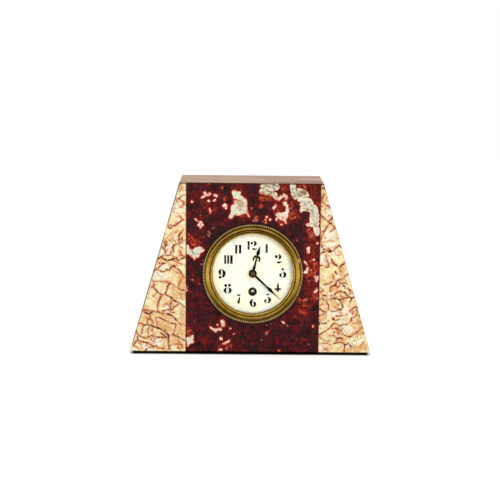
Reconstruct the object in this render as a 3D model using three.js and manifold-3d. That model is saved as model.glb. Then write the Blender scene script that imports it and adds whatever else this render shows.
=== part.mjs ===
// A marble mantel clock: a stepless trapezoid case of stone slabs, a hinged brass bezel and a
// balance-controlled eight-day movement behind an enamel dial.
// Millimetres, +Z up, the dial faces -Y, the origin is on the floor under the middle of the case.
import * as THREE from 'three';
import { mergeVertices } from 'three/addons/utils/BufferGeometryUtils.js';
import Module from 'manifold-3d';

const wasm = await Module();
wasm.setup();

// ---------------------------------------------------------------- driving dimensions
const FOOT_HEIGHT = 2.6;
const FOOT_RADIUS = 12;
const FOOT_INSET = 16;
const FOOT_INSET_SIDE = 19;
const BASE_WIDTH = 250;
const TOP_WIDTH = 148;
const STONE_HEIGHT = 176;
const CASE_DEPTH = 80;
const STONE_FRONT = -41;
const STONE_BACK = STONE_FRONT + CASE_DEPTH;
const STONE_BOTTOM = FOOT_HEIGHT;
const STONE_TOP = STONE_BOTTOM + STONE_HEIGHT;
const PANEL_HALF_WIDTH = 69;
// The panel, with the dial and movement on it, sits a little right of the case's middle.
const PANEL_X = 2;
const FRONT_SLAB = 18;
const BACK_SLAB = 12;
const SIDE_SLAB = 15;
const TOP_SLAB = 14;
const BASE_SLAB = 16;
const DIAL_HEIGHT = 85;
const FRONT_HOLE = 46;
const BACK_HOLE = 44;
const FRONT_SLAB_REAR = STONE_FRONT + FRONT_SLAB;
const BACK_SLAB_FRONT = STONE_BACK - BACK_SLAB;

// The bezel's hinge leans from the vertical because the movement is clamped a little turned.
const BEZEL_HINGE_TILT = THREE.MathUtils.degToRad(18);
const BEZEL_HINGE_RADIUS = 49.2;
const BEZEL_HINGE_Y = -47.4;

// The hands show 12:22, with the hour hand pushed on a little ahead of its place.
const MINUTE_HAND_TURN = THREE.MathUtils.degToRad(133.2);
const HOUR_HAND_TURN = THREE.MathUtils.degToRad(14.3);

// The movement's plates and arbors: depths along Y, and places in the plane of the dial,
// measured from the hand arbor.
const FRONT_PLATE = [-31, -29];
const BACK_PLATE = [3, 5];
const BARREL_AT = [0, -19.6];
const INTERMEDIATE_AT = [16.22, -6.94];
const THIRD_AT = [-9, 15.59];
const FOURTH_AT = [4.46, 17.5];
const ESCAPE_AT = [15.5, 15.28];
const MOTION_AT = [-6.928, 4];
const PALLET_AT = [9.5, 21.1];
const BALANCE_AT = [1.2, 24.6];
const PILLAR_REACH = 24.7;

// Tooth counts of the going train and of the motion work.
const GREAT_TEETH = 48;
const INTERMEDIATE_PINION = 8;
const INTERMEDIATE_TEETH = 48;
const CENTRE_PINION = 8;
const CENTRE_TEETH = 48;
const THIRD_PINION = 6;
const THIRD_TEETH = 45;
const FOURTH_PINION = 6;
const FOURTH_TEETH = 48;
const ESCAPE_PINION = 6;
const ESCAPE_TEETH = 15;
const CANNON_TEETH = 8;
const MINUTE_WHEEL_TEETH = 24;
const MINUTE_PINION = 8;
const HOUR_TEETH = 32;
const RATCHET_TEETH = 24;

// ---------------------------------------------------------------- materials
const finish = (color, roughness, metalness) =>
  new THREE.MeshStandardMaterial({ color, roughness, metalness });

const MATERIALS = {
  redMarble: finish(0x5a1a16, 0.2, 0),
  creamMarble: finish(0xf2c68c, 0.2, 0),
  topMarble: finish(0xbf9f84, 0.2, 0),
  felt: finish(0x241f1c, 0.95, 0),
  gilt: finish(0xc79a45, 0.3, 1),
  brass: finish(0xb8924a, 0.35, 1),
  steel: finish(0x9a9ca0, 0.3, 1),
  bluedSteel: finish(0x0c0c10, 0.35, 0.6),
  enamel: finish(0xf7f2e2, 0.15, 0),
  glass: new THREE.MeshStandardMaterial({
    color: 0xf4f8f6, roughness: 0.03, metalness: 0, transparent: true, opacity: 0.2,
  }),
};

// ---------------------------------------------------------------- solids
// Merges shared corners, drops empty triangles and turns the faces outwards.
function closed(geometry) {
  const bare = new THREE.BufferGeometry();
  bare.setAttribute('position', geometry.getAttribute('position'));
  if (geometry.index) bare.setIndex(geometry.index);
  const merged = mergeVertices(bare, 1e-4);
  const point = (i) => new THREE.Vector3().fromBufferAttribute(merged.attributes.position, i);
  const kept = [];
  let volume = 0;
  for (let i = 0; i < merged.index.count; i += 3) {
    const corner = [0, 1, 2].map((k) => merged.index.getX(i + k));
    if (new Set(corner).size < 3) continue;
    kept.push(...corner);
    const [a, b, c] = corner.map(point);
    volume += a.dot(b.cross(c));
  }
  if (volume < 0) kept.reverse();
  merged.setIndex(kept);
  return merged;
}

function toManifold(geometry) {
  const solid = closed(geometry);
  return new wasm.Manifold(new wasm.Mesh({
    numProp: 3,
    vertProperties: solid.attributes.position.array,
    triVerts: new Uint32Array(solid.index.array),
  }));
}

function fromManifold(solid) {
  const mesh = solid.getMesh();
  const geometry = new THREE.BufferGeometry();
  geometry.setAttribute('position', new THREE.BufferAttribute(mesh.vertProperties, 3));
  geometry.setIndex(new THREE.BufferAttribute(mesh.triVerts, 1));
  return geometry;
}

const join = (...pieces) =>
  fromManifold(pieces.map(toManifold).reduce((whole, piece) => whole.add(piece)));
const cut = (body, ...tools) =>
  fromManifold(tools.map(toManifold).reduce((whole, tool) => whole.subtract(tool), toManifold(body)));

// Points of a circle in the plane of the dial, [x, z], anticlockwise.
function circle(at, radius, sides) {
  return Array.from({ length: sides }, (_, i) => {
    const angle = (2 * Math.PI * i) / sides;
    return [at[0] + radius * Math.cos(angle), at[1] + radius * Math.sin(angle)];
  });
}

// A flat piece parallel to the dial: an outline of [x, z] points between two depths, with holes.
function plate(outline, [yFront, yBack], holes = []) {
  const shape = new THREE.Shape(outline.map(([x, z]) => new THREE.Vector2(x, z)));
  holes.forEach((hole) => {
    shape.holes.push(new THREE.Path(hole.map(([x, z]) => new THREE.Vector2(x, z))));
  });
  const slab = new THREE.ExtrudeGeometry(shape, { depth: yBack - yFront, bevelEnabled: false });
  const standUp = new THREE.Matrix4().set(1, 0, 0, 0, 0, 0, -1, 0, 0, 1, 0, 0, 0, 0, 0, 1);
  return slab.applyMatrix4(standUp).translate(0, yBack, 0);
}

const disc = (at, radius, depths, sides = 24, holes = []) =>
  plate(circle(at, radius, sides), depths, holes);

// A turned piece about an axis parallel to Y: a closed profile of [radius, y] points.
function turned(at, profile, sides = 24) {
  const points = [...profile, profile[0]].map(([r, y]) => new THREE.Vector2(r, y));
  return new THREE.LatheGeometry(points, sides).translate(at[0], 0, at[1]);
}

function box([x0, x1], [y0, y1], [z0, z1]) {
  return new THREE.BoxGeometry(x1 - x0, y1 - y0, z1 - z0)
    .translate((x0 + x1) / 2, (y0 + y1) / 2, (z0 + z1) / 2);
}

// A straight bar parallel to the dial, from one [x, z] point to another.
function bar(from, to, width, depths) {
  const along = new THREE.Vector2(to[0] - from[0], to[1] - from[1]).setLength(width / 2);
  const side = [-along.y, along.x];
  const corner = (p, s) => [p[0] + s * side[0], p[1] + s * side[1]];
  return plate([corner(from, 1), corner(from, -1), corner(to, -1), corner(to, 1)], depths);
}

const polar = (at, radius, angle) =>
  [at[0] + radius * Math.cos(angle), at[1] + radius * Math.sin(angle)];

// ---------------------------------------------------------------- gears
// Every tooth lies inside a 20 degree involute tooth, so meshed wheels clear each other all round.
const PRESSURE_ANGLE = THREE.MathUtils.degToRad(20);
const SIDE_PLAY = 0.045;
const WHEEL_ADDENDUM = 0.55;
const WHEEL_ROOT = 2.2;
const LEAF_ADDENDUM = 0.8;
const LEAF_ROOT = 1.0;
const involute = (angle) => Math.tan(angle) - angle;

function toothHalfAngle(teeth, module, radius) {
  const base = (teeth * module * Math.cos(PRESSURE_ANGLE)) / 2;
  const rolled = Math.acos(Math.min(1, base / radius));
  return Math.PI / (2 * teeth) + involute(PRESSURE_ANGLE) - involute(rolled) - SIDE_PLAY / radius;
}

// A wheel's outline: flat-topped teeth with V gaps. A tooth points along the phase angle.
function wheelOutline(teeth, module, mate, phase) {
  const pitch = (teeth * module) / 2;
  const reach = ((teeth + mate) * module * Math.sin(PRESSURE_ANGLE)) / 2;
  const limit = Math.hypot(pitch * Math.cos(PRESSURE_ANGLE), reach);
  const tip = Math.min(pitch + WHEEL_ADDENDUM * module, limit);
  const half = toothHalfAngle(teeth, module, tip);
  const root = pitch - WHEEL_ROOT * module;
  return Array.from({ length: teeth }, (_, i) => {
    const angle = phase + (2 * Math.PI * i) / teeth;
    return [
      polar([0, 0], tip, angle - half),
      polar([0, 0], tip, angle + half),
      polar([0, 0], root, angle + Math.PI / teeth),
    ];
  }).flat();
}

// A pinion's outline: leaves with radial roots below the base circle.
function pinionOutline(leaves, module, phase) {
  const pitch = (leaves * module) / 2;
  const base = pitch * Math.cos(PRESSURE_ANGLE);
  const radii = [pitch - LEAF_ROOT * module, base, pitch + LEAF_ADDENDUM * module];
  const halves = radii.map((r) => toothHalfAngle(leaves, module, Math.max(r, base)));
  return Array.from({ length: leaves }, (_, i) => {
    const angle = phase + (2 * Math.PI * i) / leaves;
    return [
      ...radii.map((r, k) => polar([0, 0], r, angle - halves[k])),
      ...radii.map((r, k) => polar([0, 0], r, angle + halves[k])).reverse(),
    ];
  }).flat();
}

const shifted = (outline, at) => outline.map(([x, z]) => [x + at[0], z + at[1]]);
const distance = (a, b) => Math.hypot(b[0] - a[0], b[1] - a[1]);
const meshModule = (from, to, teeth, mateTeeth) => (2 * distance(from, to)) / (teeth + mateTeeth);

// The phase of a gear that meshes with a driver whose teeth have a known phase.
function meshPhase(driver, driverTeeth, driverPhase, driven, drivenTeeth) {
  const line = Math.atan2(driven[1] - driver[1], driven[0] - driver[0]);
  const steps = ((line - driverPhase) * driverTeeth) / (2 * Math.PI);
  return line + Math.PI - ((0.5 - steps) * 2 * Math.PI) / drivenTeeth;
}

// Round crossings that lighten a wheel.
function crossings(at, ringRadius, holeRadius, count = 4) {
  return Array.from({ length: count }, (_, i) =>
    circle(polar(at, ringRadius, (2 * Math.PI * i) / count), holeRadius, 7));
}

// An arbor between the plates: a shaft with a pivot in a hole of each plate.
const ARBOR = 0.8;
const PIVOT = 0.45;
const PIVOT_HOLE = 0.6;
function arbor(at, front = FRONT_PLATE[0], back = BACK_PLATE[1]) {
  const [shoulderFront, shoulderBack] = [FRONT_PLATE[1] + 0.3, BACK_PLATE[0] - 0.3];
  return turned(at, [
    [0, front], [PIVOT, front], [PIVOT, shoulderFront], [ARBOR, shoulderFront],
    [ARBOR, shoulderBack], [PIVOT, shoulderBack], [PIVOT, back], [0, back],
  ], 8);
}

// ---------------------------------------------------------------- the model
const clock = new THREE.Group();
const works = new THREE.Group();
works.position.set(PANEL_X, 0, DIAL_HEIGHT);
clock.add(works);

function add(group, name, geometry, material) {
  const mesh = new THREE.Mesh(closed(geometry), material);
  mesh.name = name;
  group.add(mesh);
  return mesh;
}

// ---------------------------------------------------------------- stone case
const LEAN = (BASE_WIDTH - TOP_WIDTH) / 2 / STONE_HEIGHT;
const halfWidthAt = (z) => BASE_WIDTH / 2 - LEAN * (z - STONE_BOTTOM);

// A trapezoid slab across the case, between two heights.
function crossSlab(z0, z1, depths, holes = []) {
  const [low, high] = [halfWidthAt(z0), halfWidthAt(z1)];
  return plate([[-low, z0], [low, z0], [high, z1], [-high, z1]], depths, holes);
}

function buildFrontSlabs() {
  const depths = [STONE_FRONT, FRONT_SLAB_REAR];
  const [left, right] = [PANEL_X - PANEL_HALF_WIDTH, PANEL_X + PANEL_HALF_WIDTH];
  const outline = [[left, STONE_BOTTOM], [right, STONE_BOTTOM], [right, STONE_TOP], [left, STONE_TOP]];
  const hole = circle([PANEL_X, DIAL_HEIGHT], FRONT_HOLE, RING_SIDES);
  add(clock, 'front_centre_panel', plate(outline, depths, [hole]), MATERIALS.redMarble);
  for (const [side, sign, seam] of [['left', -1, left], ['right', 1, right]]) {
    const wing = [
      [seam, STONE_BOTTOM],
      [(sign * BASE_WIDTH) / 2, STONE_BOTTOM],
      [(sign * TOP_WIDTH) / 2, STONE_TOP],
      [seam, STONE_TOP],
    ];
    add(clock, `front_wing_${side}`, plate(wing, depths), MATERIALS.creamMarble);
  }
}

function buildRearSlabs() {
  const depths = [FRONT_SLAB_REAR, BACK_SLAB_FRONT];
  const sideFoot = STONE_BOTTOM + BASE_SLAB;
  const sideHead = STONE_TOP - TOP_SLAB;
  add(clock, 'base_slab', crossSlab(STONE_BOTTOM, sideFoot, depths), MATERIALS.topMarble);
  add(clock, 'top_slab', crossSlab(sideHead, STONE_TOP, depths), MATERIALS.topMarble);
  for (const [side, sign] of [['left', -1], ['right', 1]]) {
    const [foot, head] = [halfWidthAt(sideFoot), halfWidthAt(sideHead)];
    const outline = [
      [sign * foot, sideFoot], [sign * head, sideHead],
      [sign * (head - SIDE_SLAB), sideHead], [sign * (foot - SIDE_SLAB), sideFoot],
    ];
    add(clock, `side_slab_${side}`, plate(outline, depths), MATERIALS.creamMarble);
  }
  const movementHole = circle([PANEL_X, DIAL_HEIGHT], BACK_HOLE, RING_SIDES);
  const screwHoles = [-1, 1].map((sign) =>
    circle([PANEL_X, DIAL_HEIGHT + sign * STRAP_SCREW_RADIUS], SCREW_CLEARANCE, 8));
  const back = crossSlab(STONE_BOTTOM, STONE_TOP, [BACK_SLAB_FRONT, STONE_BACK],
    [movementHole, ...screwHoles]);
  add(clock, 'back_slab', back, MATERIALS.topMarble);
}

function buildFeet() {
  const across = BASE_WIDTH / 2 - FOOT_INSET_SIDE;
  const [front, back] = [STONE_FRONT + FOOT_INSET, STONE_BACK - FOOT_INSET];
  const lieDown = new THREE.Matrix4().set(1, 0, 0, 0, 0, 0, 1, 0, 0, -1, 0, 0, 0, 0, 0, 1);
  for (const [place, x, y] of [
    ['front_left', -across, front], ['front_right', across, front],
    ['back_left', -across, back], ['back_right', across, back],
  ]) {
    const pad = new THREE.CylinderGeometry(FOOT_RADIUS, FOOT_RADIUS, FOOT_HEIGHT, 20)
      .applyMatrix4(lieDown)
      .translate(x, y, FOOT_HEIGHT / 2);
    add(clock, `foot_${place}`, pad, MATERIALS.felt);
  }
}

// ---------------------------------------------------------------- hinges
// A hinge barrel along +Z at the origin, between two heights, with a pin hole.
function barrelAt(radius, bore, z0, z1) {
  const shape = new THREE.Shape(circle([0, 0], radius, 12).map(([x, y]) => new THREE.Vector2(x, y)));
  if (bore > 0) {
    shape.holes.push(new THREE.Path(circle([0, 0], bore, 12).map(([x, y]) => new THREE.Vector2(x, y))));
  }
  return new THREE.ExtrudeGeometry(shape, { depth: z1 - z0, bevelEnabled: false }).translate(0, 0, z0);
}

// Moves a piece modelled at the hinge's own origin, axis +Z, to the bezel's hinge.
function toBezelHinge(geometry) {
  return geometry
    .translate(BEZEL_HINGE_RADIUS, BEZEL_HINGE_Y, 0)
    .rotateY(-BEZEL_HINGE_TILT);
}

const BEZEL_BARREL = 1.2;
const BEZEL_PIN = 0.5;
const BEZEL_BORE = 0.65;
const BEZEL_RELIEF = 1.7;
const BEZEL_KNUCKLE = 1.5;
const BEZEL_KNUCKLE_OUTER = 3.3;

// ---------------------------------------------------------------- front: seat, dial, bezel
const RING_SIDES = 40;
const SEAT_OUTER = 51.8;
const SEAT_TUBE = [43.6, 45.6];
const SEAT_STEP = -42.6;
const SEAT_REAR = -15;
const DIAL = [-38, -36.6];
const DIAL_RADIUS = 43.1;
const WINDING_HOLE = 4.6;
const HAND_HOLE = 2.7;

function buildSeat() {
  const ring = turned([0, 0], [
    [SEAT_TUBE[0], SEAT_STEP], [49.2, SEAT_STEP], [49.6, -46], [51, -46],
    [SEAT_OUTER, -44.8], [SEAT_OUTER, STONE_FRONT], [SEAT_TUBE[1], STONE_FRONT],
    [SEAT_TUBE[1], SEAT_REAR], [42.4, SEAT_REAR], [42.4, FRONT_PLATE[1]],
    [SEAT_TUBE[0], FRONT_PLATE[1]],
  ], RING_SIDES);
  const knuckle = (z0, z1) => [
    toBezelHinge(barrelAt(BEZEL_BARREL, 0, z0, z1)),
    toBezelHinge(box([0.3, 1.1], [0.2, 2.2], [z0, z1])),
  ];
  const bore = toBezelHinge(barrelAt(BEZEL_BORE, 0, -BEZEL_KNUCKLE_OUTER - 1, BEZEL_KNUCKLE_OUTER + 1));
  const seat = join(ring,
    ...knuckle(-BEZEL_KNUCKLE_OUTER, -BEZEL_KNUCKLE - 0.15),
    ...knuckle(BEZEL_KNUCKLE + 0.15, BEZEL_KNUCKLE_OUTER));
  add(works, 'seat_ring', cut(seat, bore), MATERIALS.gilt);
  const pin = toBezelHinge(barrelAt(BEZEL_PIN, 0, -BEZEL_KNUCKLE_OUTER - 0.3, BEZEL_KNUCKLE_OUTER + 0.3));
  add(works, 'bezel_hinge_pin', pin, MATERIALS.brass);
}

function buildBezel() {
  const ring = turned([0, 0], [
    [48.8, -43], [48.8, -47], [48, -48.4], [46.6, -49.5], [45.4, -49.1], [43.9, -46.9],
    [43.3, -46.5], [42.8, -46.9], [42, -46.3], [42, -44.7], [43.2, -44.7], [43.2, -43],
  ], RING_SIDES);
  const outerRelief = [-1, 1].map((sign) => {
    const ends = [sign * (BEZEL_KNUCKLE + 0.02), sign * (BEZEL_KNUCKLE_OUTER + 0.5)].sort((a, b) => a - b);
    return toBezelHinge(barrelAt(BEZEL_RELIEF, 0, ...ends));
  });
  const knuckle = toBezelHinge(barrelAt(BEZEL_BARREL, 0, -BEZEL_KNUCKLE, BEZEL_KNUCKLE));
  const bore = toBezelHinge(barrelAt(BEZEL_BORE, 0, -BEZEL_KNUCKLE - 1, BEZEL_KNUCKLE + 1));
  add(works, 'bezel_ring', cut(join(cut(ring, ...outerRelief), knuckle), bore), MATERIALS.gilt);

  // A shallow dome of glass, one curved face in front of the other.
  const [rim, rise, thickness, rimFront] = [42.8, 2.5, 1.2, -44.4];
  const dome = (r) => rimFront - rise * (1 - (r / rim) ** 2);
  const radii = [0, 16, 31, rim];
  const front = radii.map((r) => [r, dome(r)]);
  const back = radii.map((r) => [r, dome(r) + thickness]).reverse();
  add(works, 'glass', turned([0, 0], [...front, ...back], 36), MATERIALS.glass);

  const sight = turned([0, 0], [
    [41.2, -43.1], [42.2, -43.1], [42.2, -42.4], [41.9, -42.4], [41.9, -39.2], [41.2, -39.2],
  ], RING_SIDES);
  add(works, 'sight_ring', sight, MATERIALS.gilt);

  // The spring tongue opposite the hinge that snaps into the tube of the seat.
  const catchTongue = box([-42.95, -42.35], [-42.2, -38.4], [-2.5, 2.5]);
  const catchFoot = box([-42.95, -42.35], [-42.9, -42.2], [-4, 4]);
  add(works, 'bezel_catch', join(catchTongue, catchFoot).rotateY(-BEZEL_HINGE_TILT), MATERIALS.brass);
}

function buildDial() {
  const holes = [circle([0, 0], HAND_HOLE, 12), circle(BARREL_AT, WINDING_HOLE, 20)];
  add(works, 'dial', disc([0, 0], DIAL_RADIUS, DIAL, RING_SIDES, holes), MATERIALS.enamel);
}

// ---------------------------------------------------------------- hands
const PIPE_SIDES = 12;
const CANNON_PIPE = [1.1, 1.45];
const HOUR_PIPE = [1.65, 2.2];
const CANNON_FRONT = -41.8;
const HOUR_PIPE_FRONT = -40.2;

// Half an outline, listed from the hub outwards, is mirrored to make the whole blade.
function blade(halfOutline, depths) {
  const mirrored = halfOutline.filter(([x]) => x > 0).map(([x, z]) => [-x, z]).reverse();
  return plate([...halfOutline, ...mirrored], depths);
}

function buildHands() {
  const hourDepths = [-39.9, -39.2];
  const hourBlade = blade([
    [0.6, 3], [0.5, 4.2], [1.45, 6.2], [0.5, 9.8], [0.5, 18.6], [1.45, 21.3], [0.7, 24.2], [0, 28.6],
  ], hourDepths);
  const horns = blade([
    [0.5, 16.4], [2, 15.6], [2.9, 13.9], [3.4, 15.4], [2.9, 17.2], [1.6, 18.6], [0, 19.2],
  ], hourDepths);
  const hourHand = cut(join(disc([0, 0], 3.8, hourDepths, 24), hourBlade, horns),
    disc([0, 0], HOUR_PIPE[1] + 0.1, [-41, -38], PIPE_SIDES));
  add(works, 'hour_hand', hourHand.rotateY(HOUR_HAND_TURN), MATERIALS.bluedSteel);

  const minuteDepths = [-41.5, -40.9];
  const minuteBlade = blade([
    [0.55, 3], [0.5, 17.5], [0.8, 21], [1.5, 24.6], [0.7, 28.6], [0.35, 31], [0, 39.2],
  ], minuteDepths);
  const minuteHand = cut(join(disc([0, 0], 3.9, minuteDepths, 24), minuteBlade),
    disc([0, 0], CANNON_PIPE[1] + 0.1, [-42, -40], PIPE_SIDES));
  add(works, 'minute_hand', minuteHand.rotateY(MINUTE_HAND_TURN), MATERIALS.bluedSteel);

  const collet = turned([0, 0], [
    [1.1, -43], [2.1, -43], [2.5, -42.6], [2.5, -42], [1.1, -42],
  ], PIPE_SIDES);
  add(works, 'hand_collet', collet, MATERIALS.brass);
}

// ---------------------------------------------------------------- motion work under the dial
function buildMotionWork() {
  const module = meshModule([0, 0], MOTION_AT, CANNON_TEETH, MINUTE_WHEEL_TEETH);
  const hourModule = meshModule([0, 0], MOTION_AT, HOUR_TEETH, MINUTE_PINION);
  const cannonPhase = 0;
  const cannon = join(
    turned([0, 0], [
      [CANNON_PIPE[0], CANNON_FRONT], [CANNON_PIPE[1], CANNON_FRONT],
      [CANNON_PIPE[1], -31.4], [CANNON_PIPE[0], -31.4],
    ], PIPE_SIDES),
    plate(pinionOutline(CANNON_TEETH, module, cannonPhase), [-33, -31.4],
      [circle([0, 0], CANNON_PIPE[0] + 0.1, PIPE_SIDES)]),
  );
  add(works, 'cannon_pinion', cannon, MATERIALS.steel);

  const wheelPhase = meshPhase([0, 0], CANNON_TEETH, cannonPhase, MOTION_AT, MINUTE_WHEEL_TEETH);
  const wheel = wheelOutline(MINUTE_WHEEL_TEETH, module, CANNON_TEETH, wheelPhase);
  const pinion = pinionOutline(MINUTE_PINION, hourModule, 0);
  const minuteWheel = cut(
    join(plate(shifted(wheel, MOTION_AT), [-32.6, -31.7]),
      plate(shifted(pinion, MOTION_AT), [-34.9, -32.6])),
    disc(MOTION_AT, 0.75, [-36, -31], 10));
  add(works, 'minute_wheel', minuteWheel, MATERIALS.brass);

  const hourPhase = meshPhase(MOTION_AT, MINUTE_PINION, 0, [0, 0], HOUR_TEETH);
  const bore = circle([0, 0], HOUR_PIPE[0], PIPE_SIDES);
  const hourWheel = join(
    plate(wheelOutline(HOUR_TEETH, hourModule, MINUTE_PINION, hourPhase), [-34.6, -33.7], [bore]),
    turned([0, 0], [
      [HOUR_PIPE[0], HOUR_PIPE_FRONT], [HOUR_PIPE[1], HOUR_PIPE_FRONT],
      [HOUR_PIPE[1], -34], [HOUR_PIPE[0], -34],
    ], PIPE_SIDES));
  add(works, 'hour_wheel', hourWheel, MATERIALS.brass);
}

// ---------------------------------------------------------------- plates and pillars
// Places near the ratchet tooth that the click holds: outwards from the barrel, then anticlockwise.
const RATCHET_PHASE = THREE.MathUtils.degToRad(60);
const fromTooth = ([out, round]) =>
  polar(polar(BARREL_AT, out, RATCHET_PHASE), round, RATCHET_PHASE + Math.PI / 2);
const CLICK_AT = fromTooth([7.4, 8.6]);
const PLATE_RADIUS = 43.2;
const BACK_PLATE_RADIUS = 38.5;
const ARBOR_PLACES = [INTERMEDIATE_AT, THIRD_AT, FOURTH_AT, ESCAPE_AT];
const PILLARS = [
  ['upper_left', -1, 1], ['upper_right', 1, 1], ['lower_left', -1, -1], ['lower_right', 1, -1],
];
const PILLAR_NECK = 1.3;
const CLICK_STUD = 0.65;

function buildPlates() {
  const pillarHoles = PILLARS.map(([, x, z]) =>
    circle([x * PILLAR_REACH, z * PILLAR_REACH], PILLAR_NECK + 0.1, 8));
  const pivotHoles = ARBOR_PLACES.map((at) => circle(at, PIVOT_HOLE, 6));
  const barrelHole = circle(BARREL_AT, 2.5, 12);
  const front = join(
    disc([0, 0], PLATE_RADIUS, FRONT_PLATE, 36,
      [circle([0, 0], 1.3, 12), barrelHole, ...pillarHoles, ...pivotHoles]),
    disc(MOTION_AT, 0.6, [-35.2, FRONT_PLATE[0] + 0.5], 10));
  add(works, 'front_plate', front, MATERIALS.brass);

  const balanceHole = circle(BALANCE_AT, PIVOT_HOLE, 6);
  const palletHole = circle(PALLET_AT, PIVOT_HOLE, 6);
  const back = join(
    disc([0, 0], BACK_PLATE_RADIUS, BACK_PLATE, 36,
      [circle([0, 0], 0.9, 12), barrelHole, ...pillarHoles, ...pivotHoles, balanceHole, palletHole]),
    disc(CLICK_AT, CLICK_STUD, [BACK_PLATE[1] - 0.5, 7.6], 10));
  add(works, 'back_plate', back, MATERIALS.brass);

  PILLARS.forEach(([place, x, z]) => {
    const at = [x * PILLAR_REACH, z * PILLAR_REACH];
    const [front0, front1, back0, back1] = [...FRONT_PLATE, ...BACK_PLATE];
    const pillar = turned(at, [
      [0, front0], [PILLAR_NECK, front0], [PILLAR_NECK, front1], [2.2, front1],
      [2.2, back0], [PILLAR_NECK, back0], [PILLAR_NECK, back1], [2.2, back1],
      [2.2, back1 + 1.2], [0, back1 + 1.2],
    ], 8);
    add(works, `pillar_${place}`, pillar, MATERIALS.brass);
  });
}

// ---------------------------------------------------------------- mainspring barrel and winding
const GREAT_WHEEL = [-27, -25.6];
const DRUM_REAR = -9;
const ARBOR_HUB = 3.2;
const WINDING_SQUARE = 3.5;
const BARREL_BORE = 2.6;

// A flat spiral strip wound about a point, from an inner to an outer radius.
function spiral(at, inner, outer, turns, thickness, depths, stepsPerTurn) {
  const steps = Math.round(turns * stepsPerTurn);
  const side = (offset) => Array.from({ length: steps + 1 }, (_, i) =>
    polar(at, inner + ((outer - inner) * i) / steps + offset, (2 * Math.PI * i) / stepsPerTurn));
  return plate([...side(thickness), ...side(0).reverse()], depths);
}

function buildBarrel() {
  const module = meshModule(BARREL_AT, INTERMEDIATE_AT, GREAT_TEETH, INTERMEDIATE_PINION);
  const great = plate(
    shifted(wheelOutline(GREAT_TEETH, module, INTERMEDIATE_PINION, 0), BARREL_AT),
    GREAT_WHEEL, [circle(BARREL_AT, BARREL_BORE, 12)]);
  const drum = turned(BARREL_AT, [
    [15, GREAT_WHEEL[1] - 0.5], [16, GREAT_WHEEL[1] - 0.5], [16, DRUM_REAR], [15, DRUM_REAR],
  ], 28);
  add(works, 'mainspring_barrel', join(great, drum), MATERIALS.brass);
  const cover = disc(BARREL_AT, 14.6, [-10.4, -9.4], 28, [circle(BARREL_AT, BARREL_BORE, 12)]);
  add(works, 'barrel_cover', cover, MATERIALS.brass);
  add(works, 'mainspring', spiral(BARREL_AT, 3.9, 14, 4, 0.6, [-24.6, -11.4], 10), MATERIALS.steel);

  const shaft = turned(BARREL_AT, [
    [0, -31.6], [2.2, -31.6], [2.2, -25], [ARBOR_HUB, -25], [ARBOR_HUB, -11], [2.2, -11],
    [2.2, 7.6], [0, 7.6],
  ], 12);
  const [x, z] = BARREL_AT;
  const half = WINDING_SQUARE / 2;
  const square = box([x - half, x + half], [-37.4, -31.4], [z - half, z + half]);
  add(works, 'winding_arbor', join(shaft, square), MATERIALS.steel);

  const [tip, root] = [8.5, 7.2];
  const teeth = Array.from({ length: RATCHET_TEETH }, (_, i) => {
    const angle = RATCHET_PHASE + (2 * Math.PI * i) / RATCHET_TEETH;
    return [polar(BARREL_AT, tip, angle), polar(BARREL_AT, root, angle)];
  }).flat();
  const ratchet = cut(plate(teeth, [5.6, 7]), disc(BARREL_AT, 2.4, [5, 8], 12));
  add(works, 'ratchet_wheel', ratchet, MATERIALS.steel);
}

// The click arches over the next teeth and leans on the steep face of its tooth, a little clear.
function buildClick() {
  const depths = [5.6, 7];
  const gap = 0.14;
  const arch = [
    [7.5, gap], [8.8, 2.2], [8.4, 4.6], [7, 7.4], [8.9, 8.6], [9.9, 5.6], [10.3, 2.6], [9.6, gap],
  ].map(fromTooth);
  const click = cut(join(plate(arch, depths), disc(CLICK_AT, 2, depths, 12)),
    disc(CLICK_AT, CLICK_STUD + 0.12, [5, 8], 10));
  add(works, 'click', click, MATERIALS.steel);

  const anchor = [-14.5, -4.4];
  const strip = bar(anchor, [-1, -6], 0.5, [5.9, 6.7]);
  const block = disc(anchor, 1.6, [5, 6.9], 10);
  add(works, 'click_spring', join(block, strip), MATERIALS.steel);
}

// ---------------------------------------------------------------- going train
const STAGES = {
  intermediate: { pinion: [-28, -24.4], wheel: [-6.6, -5.4] },
  centre: { pinion: [-7.4, -4.6], wheel: [-2.6, -1.4] },
  third: { pinion: [-3.4, -0.6], wheel: [-12.6, -11.6] },
  fourth: { pinion: [-13.4, -10.8], wheel: [-18.6, -17.8] },
  escape: { pinion: [-19.4, -17], wheel: [6.4, 6.9] },
};

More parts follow.
